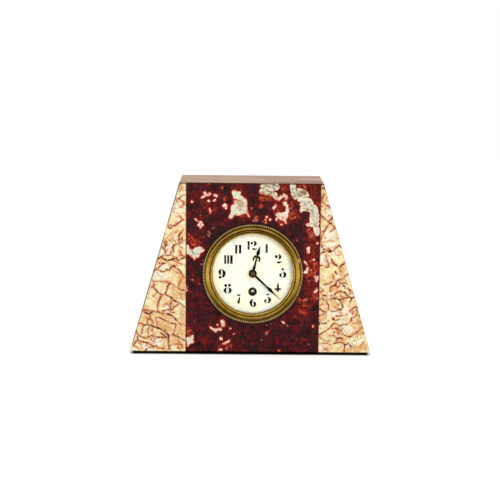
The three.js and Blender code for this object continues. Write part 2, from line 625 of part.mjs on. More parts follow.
function buildTrain() {
  const origin = [0, 0];
  const [inter, third, fourth, escape] = [INTERMEDIATE_AT, THIRD_AT, FOURTH_AT, ESCAPE_AT];
  const greatModule = meshModule(BARREL_AT, inter, GREAT_TEETH, INTERMEDIATE_PINION);
  const interModule = meshModule(inter, origin, INTERMEDIATE_TEETH, CENTRE_PINION);
  const centreModule = meshModule(origin, third, CENTRE_TEETH, THIRD_PINION);
  const thirdModule = meshModule(third, fourth, THIRD_TEETH, FOURTH_PINION);
  const fourthModule = meshModule(fourth, escape, FOURTH_TEETH, ESCAPE_PINION);

  const interPhase = meshPhase(BARREL_AT, GREAT_TEETH, 0, inter, INTERMEDIATE_PINION);
  add(works, 'intermediate_wheel', join(
    arbor(inter),
    plate(shifted(pinionOutline(INTERMEDIATE_PINION, greatModule, interPhase), inter),
      STAGES.intermediate.pinion),
    plate(shifted(wheelOutline(INTERMEDIATE_TEETH, interModule, CENTRE_PINION, 0), inter),
      STAGES.intermediate.wheel, crossings(inter, 8.5, 3)),
  ), MATERIALS.brass);

  const centrePhase = meshPhase(inter, INTERMEDIATE_TEETH, 0, origin, CENTRE_PINION);
  add(works, 'centre_wheel', join(
    turned(origin, [[0, -43.4], [0.9, -43.4], [0.9, 2.7], [0.7, 2.7], [0.7, 5], [0, 5]], 12),
    plate(pinionOutline(CENTRE_PINION, interModule, centrePhase), STAGES.centre.pinion),
    plate(wheelOutline(CENTRE_TEETH, centreModule, THIRD_PINION, 0), STAGES.centre.wheel,
      crossings(origin, 8.6, 3.4)),
  ), MATERIALS.brass);

  const thirdPhase = meshPhase(origin, CENTRE_TEETH, 0, third, THIRD_PINION);
  add(works, 'third_wheel', join(
    arbor(third),
    plate(shifted(pinionOutline(THIRD_PINION, centreModule, thirdPhase), third), STAGES.third.pinion),
    plate(shifted(wheelOutline(THIRD_TEETH, thirdModule, FOURTH_PINION, 0), third), STAGES.third.wheel,
      crossings(third, 6.4, 2.4)),
  ), MATERIALS.brass);

  const fourthPhase = meshPhase(third, THIRD_TEETH, 0, fourth, FOURTH_PINION);
  add(works, 'fourth_wheel', join(
    arbor(fourth),
    plate(shifted(pinionOutline(FOURTH_PINION, thirdModule, fourthPhase), fourth), STAGES.fourth.pinion),
    plate(shifted(wheelOutline(FOURTH_TEETH, fourthModule, ESCAPE_PINION, 0), fourth), STAGES.fourth.wheel,
      crossings(fourth, 5.4, 2)),
  ), MATERIALS.brass);

  const escapePhase = meshPhase(fourth, FOURTH_TEETH, 0, escape, ESCAPE_PINION);
  add(works, 'escape_wheel', join(
    arbor(escape, FRONT_PLATE[0], 9.2),
    plate(shifted(pinionOutline(ESCAPE_PINION, fourthModule, escapePhase), escape), STAGES.escape.pinion),
    plate(escapeOutline(escape), STAGES.escape.wheel),
  ), MATERIALS.steel);
}

// Pointed teeth that lean forward.
const ESCAPE_TIP = 6.2;
function escapeOutline(at) {
  const [root, lean, back] = [4.4, 0.12, 0.22];
  return Array.from({ length: ESCAPE_TEETH }, (_, i) => {
    const angle = (-2 * Math.PI * i) / ESCAPE_TEETH;
    return [
      polar(at, root, angle + back),
      polar(at, ESCAPE_TIP, angle + lean),
      polar(at, root, angle),
    ];
  }).flat().reverse();
}

// ---------------------------------------------------------------- escapement and balance
const BRIDGE = [8.2, 9.4];
const BALANCE_WHEEL = [11.2, 12.2];
const COCK = [15, 16.4];
const REGULATOR_ANGLE = THREE.MathUtils.degToRad(-75);

function buildEscapement() {
  const towards = Math.atan2(PALLET_AT[1] - ESCAPE_AT[1], PALLET_AT[0] - ESCAPE_AT[0]);
  const depths = [6.4, 7];
  const pallets = [-0.62, 0.62].map((spread) =>
    bar(PALLET_AT, polar(ESCAPE_AT, ESCAPE_TIP + 1.1, towards + spread), 0.9, depths));
  const toBalance = Math.atan2(BALANCE_AT[1] - PALLET_AT[1], BALANCE_AT[0] - PALLET_AT[0]);
  const fork = polar(PALLET_AT, 6.6, toBalance);
  const staff = turned(PALLET_AT, [
    [0, 3.2], [PIVOT, 3.2], [PIVOT, 5.3], [0.7, 5.3], [0.7, 7.9], [PIVOT, 7.9], [PIVOT, 9.2], [0, 9.2],
  ], 8);
  add(works, 'pallet_lever', join(disc(PALLET_AT, 1.4, depths, 12), ...pallets,
    bar(PALLET_AT, fork, 1, depths), staff), MATERIALS.steel);

  const foot = [21.4, 9.5];
  const head = [12.3, 26.6];
  const span = [
    bar(foot, ESCAPE_AT, 4, BRIDGE), bar(ESCAPE_AT, PALLET_AT, 4, BRIDGE), bar(PALLET_AT, head, 4, BRIDGE),
    disc(ESCAPE_AT, 2, BRIDGE, 12), disc(PALLET_AT, 2, BRIDGE, 12),
    disc(foot, 2, [BACK_PLATE[1], BRIDGE[1]], 12), disc(head, 2, [BACK_PLATE[1], BRIDGE[1]], 12),
  ];
  const pivots = [ESCAPE_AT, PALLET_AT].map((at) => disc(at, PIVOT_HOLE, [8, 10], 8));
  add(works, 'escapement_bridge', cut(join(...span), ...pivots), MATERIALS.brass);
}

function buildBalance() {
  const rim = disc(BALANCE_AT, 8.6, BALANCE_WHEEL, 36, [circle(BALANCE_AT, 7.4, 36)]);
  const arms = bar(polar(BALANCE_AT, 8, Math.PI), polar(BALANCE_AT, 8, 0), 1.4, BALANCE_WHEEL);
  const staff = turned(BALANCE_AT, [
    [0, 3.2], [0.4, 3.2], [0.4, 5.3], [0.9, 5.3], [0.9, 14.4], [0.4, 14.4], [0.4, 16.2], [0, 16.2],
  ], 8);
  add(works, 'balance_wheel', join(rim, arms, staff), MATERIALS.brass);
  add(works, 'hairspring', spiral(BALANCE_AT, 1.7, 5, 3, 0.22, [13.2, 13.8], 12), MATERIALS.bluedSteel);

  const foot = [-3.2, 35.2];
  const cock = join(
    bar(foot, BALANCE_AT, 5, COCK), disc(BALANCE_AT, 2.8, COCK, 16),
    disc(foot, 2.5, [BACK_PLATE[1], COCK[1]], 14));
  add(works, 'balance_cock', cut(cock, disc(BALANCE_AT, 0.55, [14, 17], 8)), MATERIALS.brass);

  const index = polar(BALANCE_AT, 9, REGULATOR_ANGLE);
  const regulator = cut(
    join(disc(BALANCE_AT, 2.2, [16.7, 17.3], 16), bar(BALANCE_AT, index, 0.9, [16.7, 17.3])),
    disc(BALANCE_AT, 1.2, [16, 18], 12));
  add(works, 'regulator', regulator, MATERIALS.steel);
}

// ---------------------------------------------------------------- straps and back door
const STRAP_SCREW_RADIUS = 48.5;
const SCREW_CLEARANCE = 1.8;
const BACK_HINGE = [-48.4, 43.4];
const BACK_BARREL = 1.4;
const BACK_PIN = 0.6;
const BACK_BORE = 0.75;
const SCREW_HOLE = 1.45;
const KNOB_RADIUS_AT = 34;

function buildStraps() {
  for (const [place, sign] of [['upper', 1], ['lower', -1]]) {
    const heights = (a, b) => [sign * a, sign * b].sort((p, q) => p - q);
    const strap = join(
      box([-6, 6], [-22.7, 26.4], heights(46, 47.2)),
      box([-6, 6], [24.6, 26.4], heights(46, 51.5)));
    const hole = disc([0, sign * STRAP_SCREW_RADIUS], SCREW_HOLE, [24, 27], 10);
    add(works, `strap_${place}`, cut(strap, hole), MATERIALS.brass);
    const screw = turned([0, sign * STRAP_SCREW_RADIUS], [
      [0, 24], [1.2, 24], [1.2, 41.3], [2.8, 41.3], [2.8, 42.4], [0, 42.8],
    ], 10);
    add(works, `strap_screw_${place}`, screw, MATERIALS.steel);
  }
}

function backHinge(geometry) {
  return geometry.translate(BACK_HINGE[0], BACK_HINGE[1], 0);
}

function buildBackDoor() {
  const ring = turned([0, 0], [
    [42.4, 35], [43.6, 35], [43.6, STONE_BACK], [52, STONE_BACK], [52, 41.2], [42.4, 41.2],
  ], RING_SIDES);
  const holes = [-1, 1].map((sign) => disc([0, sign * STRAP_SCREW_RADIUS], SCREW_HOLE, [38, 42], 10));
  const knuckles = [[-7.5, -3.2], [3.2, 7.5]].flatMap(([z0, z1]) => [
    backHinge(barrelAt(BACK_BARREL, 0, z0, z1)),
    backHinge(box([-1.3, 0.2], [-2.4, 0], [z0, z1])),
  ]);
  const bore = () => backHinge(barrelAt(BACK_BORE, 0, -9, 9));
  add(works, 'back_ring', cut(join(cut(ring, ...holes), ...knuckles), bore()), MATERIALS.gilt);
  add(works, 'back_door_hinge_pin', backHinge(barrelAt(BACK_PIN, 0, -8.2, 8.2)), MATERIALS.brass);

  const door = join(
    turned([0, 0], [[0, 41.5], [45.2, 41.5], [45.2, 42.7], [44, 43.3], [0, 43.3]], RING_SIDES),
    backHinge(barrelAt(BACK_BARREL, 0, -3, 3)),
    backHinge(box([0, 4.5], [-1.6, -0.2], [-3, 3])));
  add(works, 'back_door', cut(door, bore()), MATERIALS.gilt);
  const knob = turned([KNOB_RADIUS_AT, 0], [
    [0, 43.3], [1.6, 43.3], [1.3, 45.4], [3, 47], [3, 48.6], [2.2, 49.5], [0, 49.5],
  ], 12);
  add(works, 'back_door_knob', knob, MATERIALS.gilt);
}

buildFrontSlabs();
buildRearSlabs();
buildFeet();
buildSeat();
buildDial();
buildBezel();
buildHands();
buildMotionWork();
buildPlates();
buildBarrel();
buildClick();
buildTrain();
buildEscapement();
buildBalance();
buildStraps();
buildBackDoor();

export default clock;
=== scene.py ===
"""Looks of a mantel clock: stone slabs, a beaded brass bezel, an enamel dial and the movement behind it.

Tables and functions work in millimetres in the part's own frame, and MM turns them into metres. A colour of
three numbers is written as it looks on a screen, 0 to 255, and one of four is a shader's own.
"""

import math

import bmesh
import bpy
from mathutils import Matrix, Vector


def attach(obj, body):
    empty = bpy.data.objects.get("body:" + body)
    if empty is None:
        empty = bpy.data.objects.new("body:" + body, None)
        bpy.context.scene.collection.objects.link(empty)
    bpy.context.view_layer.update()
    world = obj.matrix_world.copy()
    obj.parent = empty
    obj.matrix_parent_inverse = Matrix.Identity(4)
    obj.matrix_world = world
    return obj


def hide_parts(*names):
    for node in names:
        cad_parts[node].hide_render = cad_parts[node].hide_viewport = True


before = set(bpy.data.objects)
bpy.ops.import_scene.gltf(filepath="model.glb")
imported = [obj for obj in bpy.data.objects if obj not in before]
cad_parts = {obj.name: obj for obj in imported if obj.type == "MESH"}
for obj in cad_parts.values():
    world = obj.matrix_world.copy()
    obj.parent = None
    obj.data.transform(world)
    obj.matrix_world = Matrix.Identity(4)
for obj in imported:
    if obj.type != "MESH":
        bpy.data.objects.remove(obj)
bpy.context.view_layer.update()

MM = 0.001
FAR = 1000
DIAL_X = 2
DIAL_HEIGHT = 85
DIAL_CENTRE = (DIAL_X, 0, DIAL_HEIGHT)
WINDING_DROP = 19.6
WINDING_CENTRE = (DIAL_X, DIAL_HEIGHT - WINDING_DROP)
SEAT_RADIUS = 52
FRONT_FACE = -41
STONE_TOP = 178.6
BASE_HALF_WIDTH = 125
PANEL_X = DIAL_X
PANEL_HALF_WIDTH = 69
WING_LEAN = 51 / 176
WING_FOOT = 2.6
# Where the looks of the stone change, each (from, to).
LOOKING_UP = (0.4, 0.7)
JOINT_FADE = (STONE_TOP - 1.9, STONE_TOP - 1.0)
FRONT_DARKENING_FADE = (FRONT_FACE + 7, FRONT_FACE + 1)
VEIN_FADE = (FRONT_FACE + 5, FRONT_FACE + 1)
SEAT_SHADE = (SEAT_RADIUS + 5, SEAT_RADIUS)
PANEL_SEAM = (PANEL_HALF_WIDTH - 1.1, PANEL_HALF_WIDTH - 0.5)
WHITE = (1, 1, 1, 1)
# The places of the colour sockets on a Mix node.
MIX_BELOW, MIX_ABOVE, MIX_COLOUR = 6, 7, 2


# ---------------------------------------------------------------- nodes
def linear(colour):
    """A colour as it looks on a screen, in the linear values that shaders use."""
    shares = [channel / 255 for channel in colour]
    return (*(x / 12.92 if x <= 0.04045 else ((x + 0.055) / 1.055) ** 2.4 for x in shares), 1.0)


class Nodes:
    """A node tree, and a short method for each kind of node that goes into it."""

    def __init__(self, tree):
        self.tree = tree

    def node(self, kind, *values, **settings):
        """A node with some settings, and with its first inputs fed in order."""
        made = self.tree.nodes.new(kind)
        for name, value in settings.items():
            setattr(made, name, value)
        for socket, value in zip(made.inputs, values):
            self.put(socket, value)
        return made

    def put(self, socket, value):
        """Feeds a socket from another one, or gives it a value of its own."""
        if isinstance(value, bpy.types.NodeSocket):
            self.tree.links.new(value, socket)
        elif socket.type == "RGBA" and len(value) == 3:
            socket.default_value = linear(value)
        else:
            socket.default_value = value

    def fill(self, node, **values):
        """Gives inputs their values by name, with _ for a space, and returns the node's outputs."""
        for name, value in values.items():
            self.put(node.inputs[name.replace("_", " ")], value)
        return node.outputs

    def math(self, operation, *values):
        return self.node("ShaderNodeMath", *values, operation=operation).outputs[0]

    def plus(self, first, second):
        return self.math("ADD", first, second)

    def minus(self, first, second):
        return self.math("SUBTRACT", first, second)

    def times(self, product, *others):
        for other in others:
            product = self.math("MULTIPLY", product, other)
        return product

    def scaled(self, share, by, plus):
        """A share stretched to by times itself and moved up by plus."""
        return self.math("MULTIPLY_ADD", share, by, plus)

    def vector(self, operation, *values):
        node = self.node("ShaderNodeVectorMath", *values, operation=operation)
        return node.outputs["Value" if operation in ("LENGTH", "DOT_PRODUCT") else "Vector"]

    def parts(self, vector):
        """The X, Y and Z of a vector, by name."""
        return self.node("ShaderNodeSeparateXYZ", vector).outputs

    def noise(self, place, size, detail=3.0, roughness=0.5, output="Fac"):
        node = self.node("ShaderNodeTexNoise")
        return self.fill(node, Vector=place, Scale=1 / size, Detail=detail, Roughness=roughness)[output]

    def voronoi(self, place, size, feature="F1", output="Distance"):
        node = self.node("ShaderNodeTexVoronoi", feature=feature)
        return self.fill(node, Vector=place, Scale=1 / size)[output]

    def warp(self, place, *layers):
        """The place pushed about by layers of noise, each (size of the swirls, furthest push)."""
        moved = place
        for size, push in layers:
            swirl = self.vector("SUBTRACT", self.noise(place, size, 2.0, output="Color"), (0.5,) * 3)
            moved = self.vector("ADD", moved, self.vector("MULTIPLY", swirl, (2 * push,) * 3))
        return moved

    def chipped(self, place, size, share):
        """The place pulled some way to the middle of its cell, so that what it draws gets broken edges."""
        towards = self.vector("SUBTRACT", self.voronoi(place, size, output="Position"), place)
        return self.vector("ADD", place, self.vector("MULTIPLY", towards, (share,) * 3))

    def rise(self, value, low, high):
        """0 up to low, 1 from high on, and a smooth rise between; it falls where low is the larger."""
        ends = (low, high, 0, 1) if low < high else (high, low, 1, 0)
        node = self.node("ShaderNodeMapRange", value, *ends, interpolation_type="SMOOTHSTEP")
        return node.outputs["Result"]

    def patches(self, place, grain, low, high):
        """The rise of noise; its grain is (size, detail) or (size, detail, roughness)."""
        return self.rise(self.noise(place, *grain), low, high)

    def ramp(self, share, *stops):
        """Colours along a share from 0 to 1, each stop (position, colour)."""
        node = self.node("ShaderNodeValToRGB", share)
        elements = node.color_ramp.elements
        while len(elements) < len(stops):
            elements.new(0.5)
        for element, (position, colour) in zip(elements, stops):
            element.position = position
            element.color = linear(colour)
        return node.outputs["Color"]

    def mix(self, share, below, above, blend="MIX"):
        node = self.node("ShaderNodeMix", share, data_type="RGBA", blend_type=blend)
        self.put(node.inputs[MIX_BELOW], below)
        self.put(node.inputs[MIX_ABOVE], above)
        return node.outputs[MIX_COLOUR]

    def paint(self, colour, mask, strength, tint):
        """The colour with a tint laid over it where the mask is 1, at some strength."""
        return self.mix(self.times(mask, strength), colour, tint)

    def clouded(self, colour, place, *layers):
        """The colour under clouds of tints, each layer (offset, grain, low, high, strength, tint)."""
        for offset, grain, low, high, strength, tint in layers:
            cloud = self.patches(self.vector("ADD", place, offset), grain, low, high)
            colour = self.paint(colour, cloud, strength, tint)
        return colour

    def shader(self, kind, **values):
        return self.fill(self.node(kind), **values)[0]

    def either(self, share, below, above):
        """One shader where the share is 0, and the other where it is 1."""
        return self.node("ShaderNodeMixShader", share, below, above).outputs[0]

    def looked_at(self):
        """1 for rays that look at a surface, even by way of metal or glass, and 0 for those that light."""
        rays = self.node("ShaderNodeLightPath").outputs
        mirrored = self.math("MAXIMUM", rays["Is Glossy Ray"], rays["Is Transmission Ray"])
        return self.math("MAXIMUM", rays["Is Camera Ray"], mirrored)


def stroke_group():
    """How far a place is outside a round-ended stroke, or outside those before it where that is less."""
    tree = bpy.data.node_groups.new("stroke", "ShaderNodeTree")
    for name in ("Place", "Start", "Along"):
        tree.interface.new_socket(name, in_out="INPUT", socket_type="NodeSocketVector")
    for name in ("Radius", "Before"):
        tree.interface.new_socket(name, in_out="INPUT", socket_type="NodeSocketFloat")
    tree.interface.new_socket("Distance", in_out="OUTPUT", socket_type="NodeSocketFloat")
    n = Nodes(tree)
    given = n.node("NodeGroupInput").outputs
    from_start = n.vector("SUBTRACT", given["Place"], given["Start"])
    reached = n.vector("DOT_PRODUCT", from_start, given["Along"])
    whole = n.vector("DOT_PRODUCT", given["Along"], given["Along"])
    share = n.math("MINIMUM", n.math("MAXIMUM", n.math("DIVIDE", reached, whole), 0), 1)
    along = n.node("ShaderNodeVectorMath", given["Along"], operation="SCALE")
    beside = n.vector("SUBTRACT", from_start, n.fill(along, Scale=share)["Vector"])
    distance = n.minus(n.vector("LENGTH", beside), given["Radius"])
    n.node("NodeGroupOutput", n.math("MINIMUM", distance, given["Before"]))
    return tree


STROKE = stroke_group()


class Shader(Nodes):
    """A material with one Principled shader and the nodes that feed it."""

    def __init__(self, name, **settings):
        self.material = bpy.data.materials.new(name)
        self.material.use_nodes = True
        super().__init__(self.material.node_tree)
        self.tree.nodes.clear()
        self.output = self.node("ShaderNodeOutputMaterial")
        self.surface = self.node("ShaderNodeBsdfPrincipled")
        self.put(self.output.inputs["Surface"], self.fill(self.surface, **settings)[0])
        metres = self.node("ShaderNodeTexCoord").outputs["Object"]
        self.place = self.vector("MULTIPLY", metres, (1 / MM,) * 3)

    def from_dial(self):
        """The way from the dial's centre, seen from the front."""
        return self.vector("MULTIPLY", self.vector("SUBTRACT", self.place, DIAL_CENTRE), (1, 0, 1))

    def nearest(self, place, strokes):
        """How far off the nearest of some strokes is, seen from the front; each is (radius, point, ...)."""
        flat = self.vector("MULTIPLY", place, (1, 0, 1))
        closest = FAR
        for radius, *points in strokes:
            for (x, z), (end_x, end_z) in zip(points, points[1:] or points):
                given = (flat, (x, 0, z), (end_x - x, 0, end_z - z), radius, closest)
                closest = self.node("ShaderNodeGroup", *given, node_tree=STROKE).outputs["Distance"]
        return closest

    def finished(self, colour, roughness, height, depth):
        """The material with its colour, roughness and small relief; depth is the relief's full height."""
        relief = self.fill(self.node("ShaderNodeBump"), Strength=1, Distance=depth * MM, Height=height)
        self.fill(self.surface, Base_Color=colour, Roughness=roughness, Normal=relief["Normal"])
        return self.material


# ---------------------------------------------------------------- stone
# Each stroke of stone in these lists is (radius, point, point, ...), on the face of the slab.
# The white and pink stones of the red panel.
PALE_CLASTS = (
    (3, (-17, 168), (-14, 167)), (2, (-17, 165), (-16, 164)), (2.8, (-12, 163), (-9, 161)),
    (2.2, (-7, 160), (-7, 151)), (1.8, (-16, 159), (-16, 155)), (2.8, (-18, 154), (-18, 148)),
    (3.2, (-12, 158), (-11, 154)), (2.2, (-20, 146), (-21, 144)), (3, (-15, 150), (-9, 151)),
    (1.8, (-14, 147), (-6, 149)), (0.6, (-5, 148), (-2, 144)),
    (1.2, (-48, 168), (-46, 166), (-43, 167)), (0.9, (-46, 166), (-51, 163)),
    (1.2, (-38, 166), (-36, 165)), (1, (-44, 160)), (0.6, (-39, 160), (-37, 161)), (1.2, (-61, 159)),
    (0.8, (-44, 178)), (1.1, (-29, 155), (-27, 156), (-26, 155)), (1.1, (-26, 153)),
    (0.8, (-43, 152), (-42, 148)), (0.6, (-57, 141), (-54, 138)),
    (0.9, (-52, 138), (-54, 135), (-52, 133), (-50, 135), (-52, 138)), (2.4, (-66, 112), (-65, 107)),
    (2.8, (-63, 107), (-60, 106)), (3.4, (-58, 107), (-53, 109)), (1.8, (-52, 109), (-50, 109)),
    (2.8, (-59, 104), (-56, 104)), (1.2, (-58, 100)), (1.3, (-67, 71), (-67, 67)), (2, (34, 158)),
    (1.5, (36, 156), (37, 150)), (2.6, (28, 146), (33, 146)), (1.9, (35, 148), (35, 144)),
    (1.2, (27, 144), (33, 141)), (1.1, (34, 142), (35, 138)), (1, (31, 136)),
    (0.7, (26, 143), (26, 141)), (1.1, (25, 156), (23, 153)), (1, (16, 144)), (1.1, (19, 141)),
    (0.7, (15, 141)), (0.7, (15, 138)), (1.3, (30, 165), (28, 162)), (1.8, (33, 166), (35, 165)),
    (0.8, (36, 164), (35, 162)), (1.4, (59, 112), (59, 108)), (1.1, (68, 117)),
    (0.7, (55, 98), (57, 96), (58, 94)), (1.2, (59, 91), (58, 88)), (1.1, (56, 87), (58, 87)),
    (1, (65, 100)), (0.8, (62, 89)), (1.1, (66, 82), (68, 80)), (1, (69, 82), (68, 78)),
    (2, (-29, 34), (-28, 31)), (1.1, (-41, 28), (-36, 24)), (1.3, (-35, 26), (-31, 26)),
    (0.8, (-34, 31)), (0.8, (-21, 27)), (0.5, (-17, 21)), (1.6, (-30, 16)),
    (1.1, (-28, 11), (-25, 12), (-22, 14)), (1, (-32, 4), (-30, 4)), (2.4, (-65, 15), (-61, 16)),
    (2.2, (-64, 12), (-61, 13)), (1.1, (-60, 18)), (1, (-65, 9)), (0.45, (33, 35), (35, 33)),
    (0.9, (65, 30)), (1, (66, 66), (68, 68)), (0.45, (30, 4)),
)
# Its small salmon and lilac stones, and the faint ones.
SALMON_CLASTS = (
    (0.7, (-30, 175), (-30, 172)), (1, (-44, 128), (-42, 126)), (0.8, (-44, 125), (-43, 123)),
    (0.8, (-49, 123)), (0.7, (-52, 145)), (0.7, (-39, 132)), (0.6, (-49, 154)), (0.8, (-49, 98)),
    (1.1, (-51, 94)), (1, (-60, 78)), (0.8, (-53, 74)), (1.2, (5, 143)), (1.2, (2, 140), (6, 140)),
    (1.2, (0, 153)), (0.8, (12, 139)), (1, (66, 86)), (1, (60, 77)), (1.6, (68, 69)), (1.3, (69, 60)),
    (1.4, (55, 57), (58, 58)), (1.3, (-24, 6)), (1.2, (17, 22)), (0.6, (38, 32), (39, 30)),
    (0.7, (17, 31)), (0.6, (21, 32)), (0.8, (12, 15)), (1, (48, 120)), (1.1, (45, 144)),
    (1.4, (62, 125)), (1.2, (59, 131)), (0.6, (41, 153)), (0.6, (46, 151)), (0.6, (48, 8)),
    (0.7, (61, 11)), (0.6, (-58, 34)),
)
# The olive and grey vein that crosses its upper right corner.
OLIVE_CLASTS = (
    (3.4, (13, 175), (25, 175)), (2.8, (11, 170), (20, 169)), (2, (24, 168), (24, 165)),
    (1.2, (25, 163)), (2.4, (42, 177), (43, 170), (45, 165)), (3.4, (48, 170), (55, 167)),
    (3, (50, 163), (58, 161)), (3.2, (53, 157), (60, 158)), (2.4, (52, 153), (57, 153)),
    (1.3, (51, 151)), (4, (63, 153), (65, 146)), (4.4, (65, 145), (65, 138)),
    (2.6, (66, 134), (68, 128)), (1.6, (58, 136)), (2.2, (62, 137)),
)
# Ochre, orange and cream places inside its pale stones and the olive vein, and the vein's dark folds.
OCHRE_SPOTS = (
    (2.4, (-12, 159), (-10, 156)), (0.5, (-17, 159), (-12, 155)), (2, (12, 166), (18, 166)),
    (1.8, (32, 153)), (1.4, (57, 152)), (2, (50, 168), (54, 168)), (1.2, (22, 169)), (1.4, (11, 169)),
    (1, (66, 135)),
)
ORANGE_SPOTS = (
    (2, (9, 167), (20, 165)), (0.8, (23, 169)), (0.8, (12, 169)), (0.8, (-13, 155), (-11, 151)),
    (1, (32, 155), (29, 151)),
)
CREAM_SPOTS = (
    (1.2, (50, 163), (58, 162)), (1, (24, 172), (26, 170)), (1.3, (62, 161), (65, 156)),
    (1.2, (47, 176), (48, 172)), (1, (60, 143), (62, 139)), (1.4, (62, 135), (66, 131)),
    (0.9, (52, 153), (53, 151)), (0.9, (12, 173), (15, 171)),
)
DARK_FOLDS = (
    (0.7, (10, 174), (14, 172), (20, 169)), (0.6, (22, 177), (27, 176)), (0.5, (21, 176), (24, 171)),
    (0.5, (14, 177), (18, 175)), (0.9, (33, 158)), (0.7, (46, 172), (48, 166), (51, 166)),
    (0.7, (66, 141)), (0.4, (61, 152), (63, 149)), (1.5, (51, 170), (55, 169)),
    (0.4, (57, 152), (60, 149)), (0.4, (62, 147), (65, 145)), (0.5, (64, 137), (68, 134)),
    (0.4, (-62, 112), (-60, 106), (-57, 104)),
)
# Where iron has stained it red and orange, where it is warmer than the rest, and where it is nearly black.
RUSTY_CLASTS = (
    (3, (-61, 119), (-57, 116)), (2, (-65, 124)), (1.6, (-54, 116)), (1.4, (-17, 162), (-18, 159)),
    (1.6, (-27, 162)), (1.6, (-10, 146), (-3, 147)), (1.4, (-27, 153)), (1.5, (-39, 150)),
    (2.4, (27, 153), (26, 148)), (1.6, (30, 140), (31, 137)), (2.4, (42, 148), (40, 144)),
    (1.6, (42, 157)), (2.4, (34, 173), (33, 178)), (2.4, (67, 157)), (3, (60, 130), (63, 124)),
    (3.4, (64, 96), (66, 91)), (2.4, (57, 84), (63, 86)), (1.3, (50, 58)), (1.5, (56, 52)),
    (1.6, (52, 46), (57, 44)), (1, (60, 50)), (1.2, (46, 40)), (2, (67, 66), (67, 60)),
    (2.4, (-65, 25), (-62, 21)), (1.4, (-25, 7), (-21, 9)), (1.2, (17, 23)), (1.6, (5, 142)),
    (1.8, (10, 163), (19, 163)), (2, (50, 177), (54, 175)), (1.2, (-32, 7)), (1.6, (10, 155)),
)
WARM_ZONES = (
    (7, (62, 118), (62, 60)), (8, (30, 160), (64, 170)), (6, (-14, 172), (-8, 146)), (7, (-58, 118)),
    (4, (50, 56), (58, 42)), (5, (30, 140), (46, 146)), (4, (-40, 152), (-60, 162)),
    (2, (-28, 8), (-20, 10)),
)
BLACK_CLASTS = (
    (3, (-55, 156)), (2, (3, 175)), (2.4, (22, 138)), (3, (-31, 131), (-40, 122)),
    (2.4, (-55, 90), (-52, 84)), (2, (-64, 85)), (3, (48, 132), (50, 128)), (2.6, (37, 27), (40, 24)),
    (2, (8, 15), (14, 14)), (2, (33, 8)), (2.4, (50, 20)), (2, (-45, 50)), (2.4, (63, 28)),
    (2, (-25, 171)),
)
CLAST_SWELL = 0.35
OLIVE_TURN = (158, 144)
SATIN = 0.3


def buff_stone(s):
    """Greyish buff stone in tilted beds along its length: where its streaks lie, and its colour."""
    bent = s.warp(s.place, (30, 3.0), (8, 0.8))
    beds = ((0.14, 0, 0), (0, 0.9, 0.45), (0, -0.07, 0.14))
    along = s.node("ShaderNodeCombineXYZ", *[s.vector("DOT_PRODUCT", bent, bed) for bed in beds]).outputs[0]
    colour = s.ramp(
        s.noise(along, 4.0, 6.0, 0.62),
        (0.32, (156, 116, 88)),
        (0.44, (190, 152, 122)),
        (0.53, (212, 180, 146)),
        (0.66, (236, 210, 170)),
    )
    return along, s.clouded(
        colour, along,
        ((0, 70, 0), (18, 3.0), 0.48, 0.60, 0.55, (226, 204, 160)),
        ((0, 90, 4), (15, 3.0), 0.52, 0.62, 0.55, (150, 106, 90)),
        ((0, 50, 0), (7, 4.0), 0.46, 0.62, 0.55, (208, 150, 132)),
        ((0, 20, 9), (8, 4.0), 0.52, 0.66, 0.50, (186, 164, 140)),
        ((3, 8, 5), (1.6, 5.0, 0.7), 0.58, 0.70, 0.60, (132, 86, 58)),
    )


def upper_end(s):
    """1 on the faces that look up, and 0 on the others."""
    facing = s.node("ShaderNodeTexCoord").outputs["Normal"]
    return s.rise(s.parts(facing)["Z"], *LOOKING_UP)


def capped(s, colour):
    """The stone's colour, with the buff stone over its upper end and a dark joint just below that."""
    place = s.parts(s.place)
    joint = s.times(s.rise(place["Z"], *JOINT_FADE), s.patches(s.place, (9, 3.0), 0.30, 0.50))
    colour = s.paint(colour, joint, 0.75, (44, 30, 18))
    # The upper end is darker towards the front edge.
    darker_at_front = s.rise(place["Y"], *FRONT_DARKENING_FADE)
    return s.mix(upper_end(s), colour, s.paint(buff_stone(s)[1], darker_at_front, 0.5, (138, 100, 76)))


def polish(s, size, spread):
    """The roughness of polished stone, which is only satin on its upper end."""
    return s.scaled(upper_end(s), SATIN, s.scaled(s.noise(s.place, size, 3.0), spread, spread))


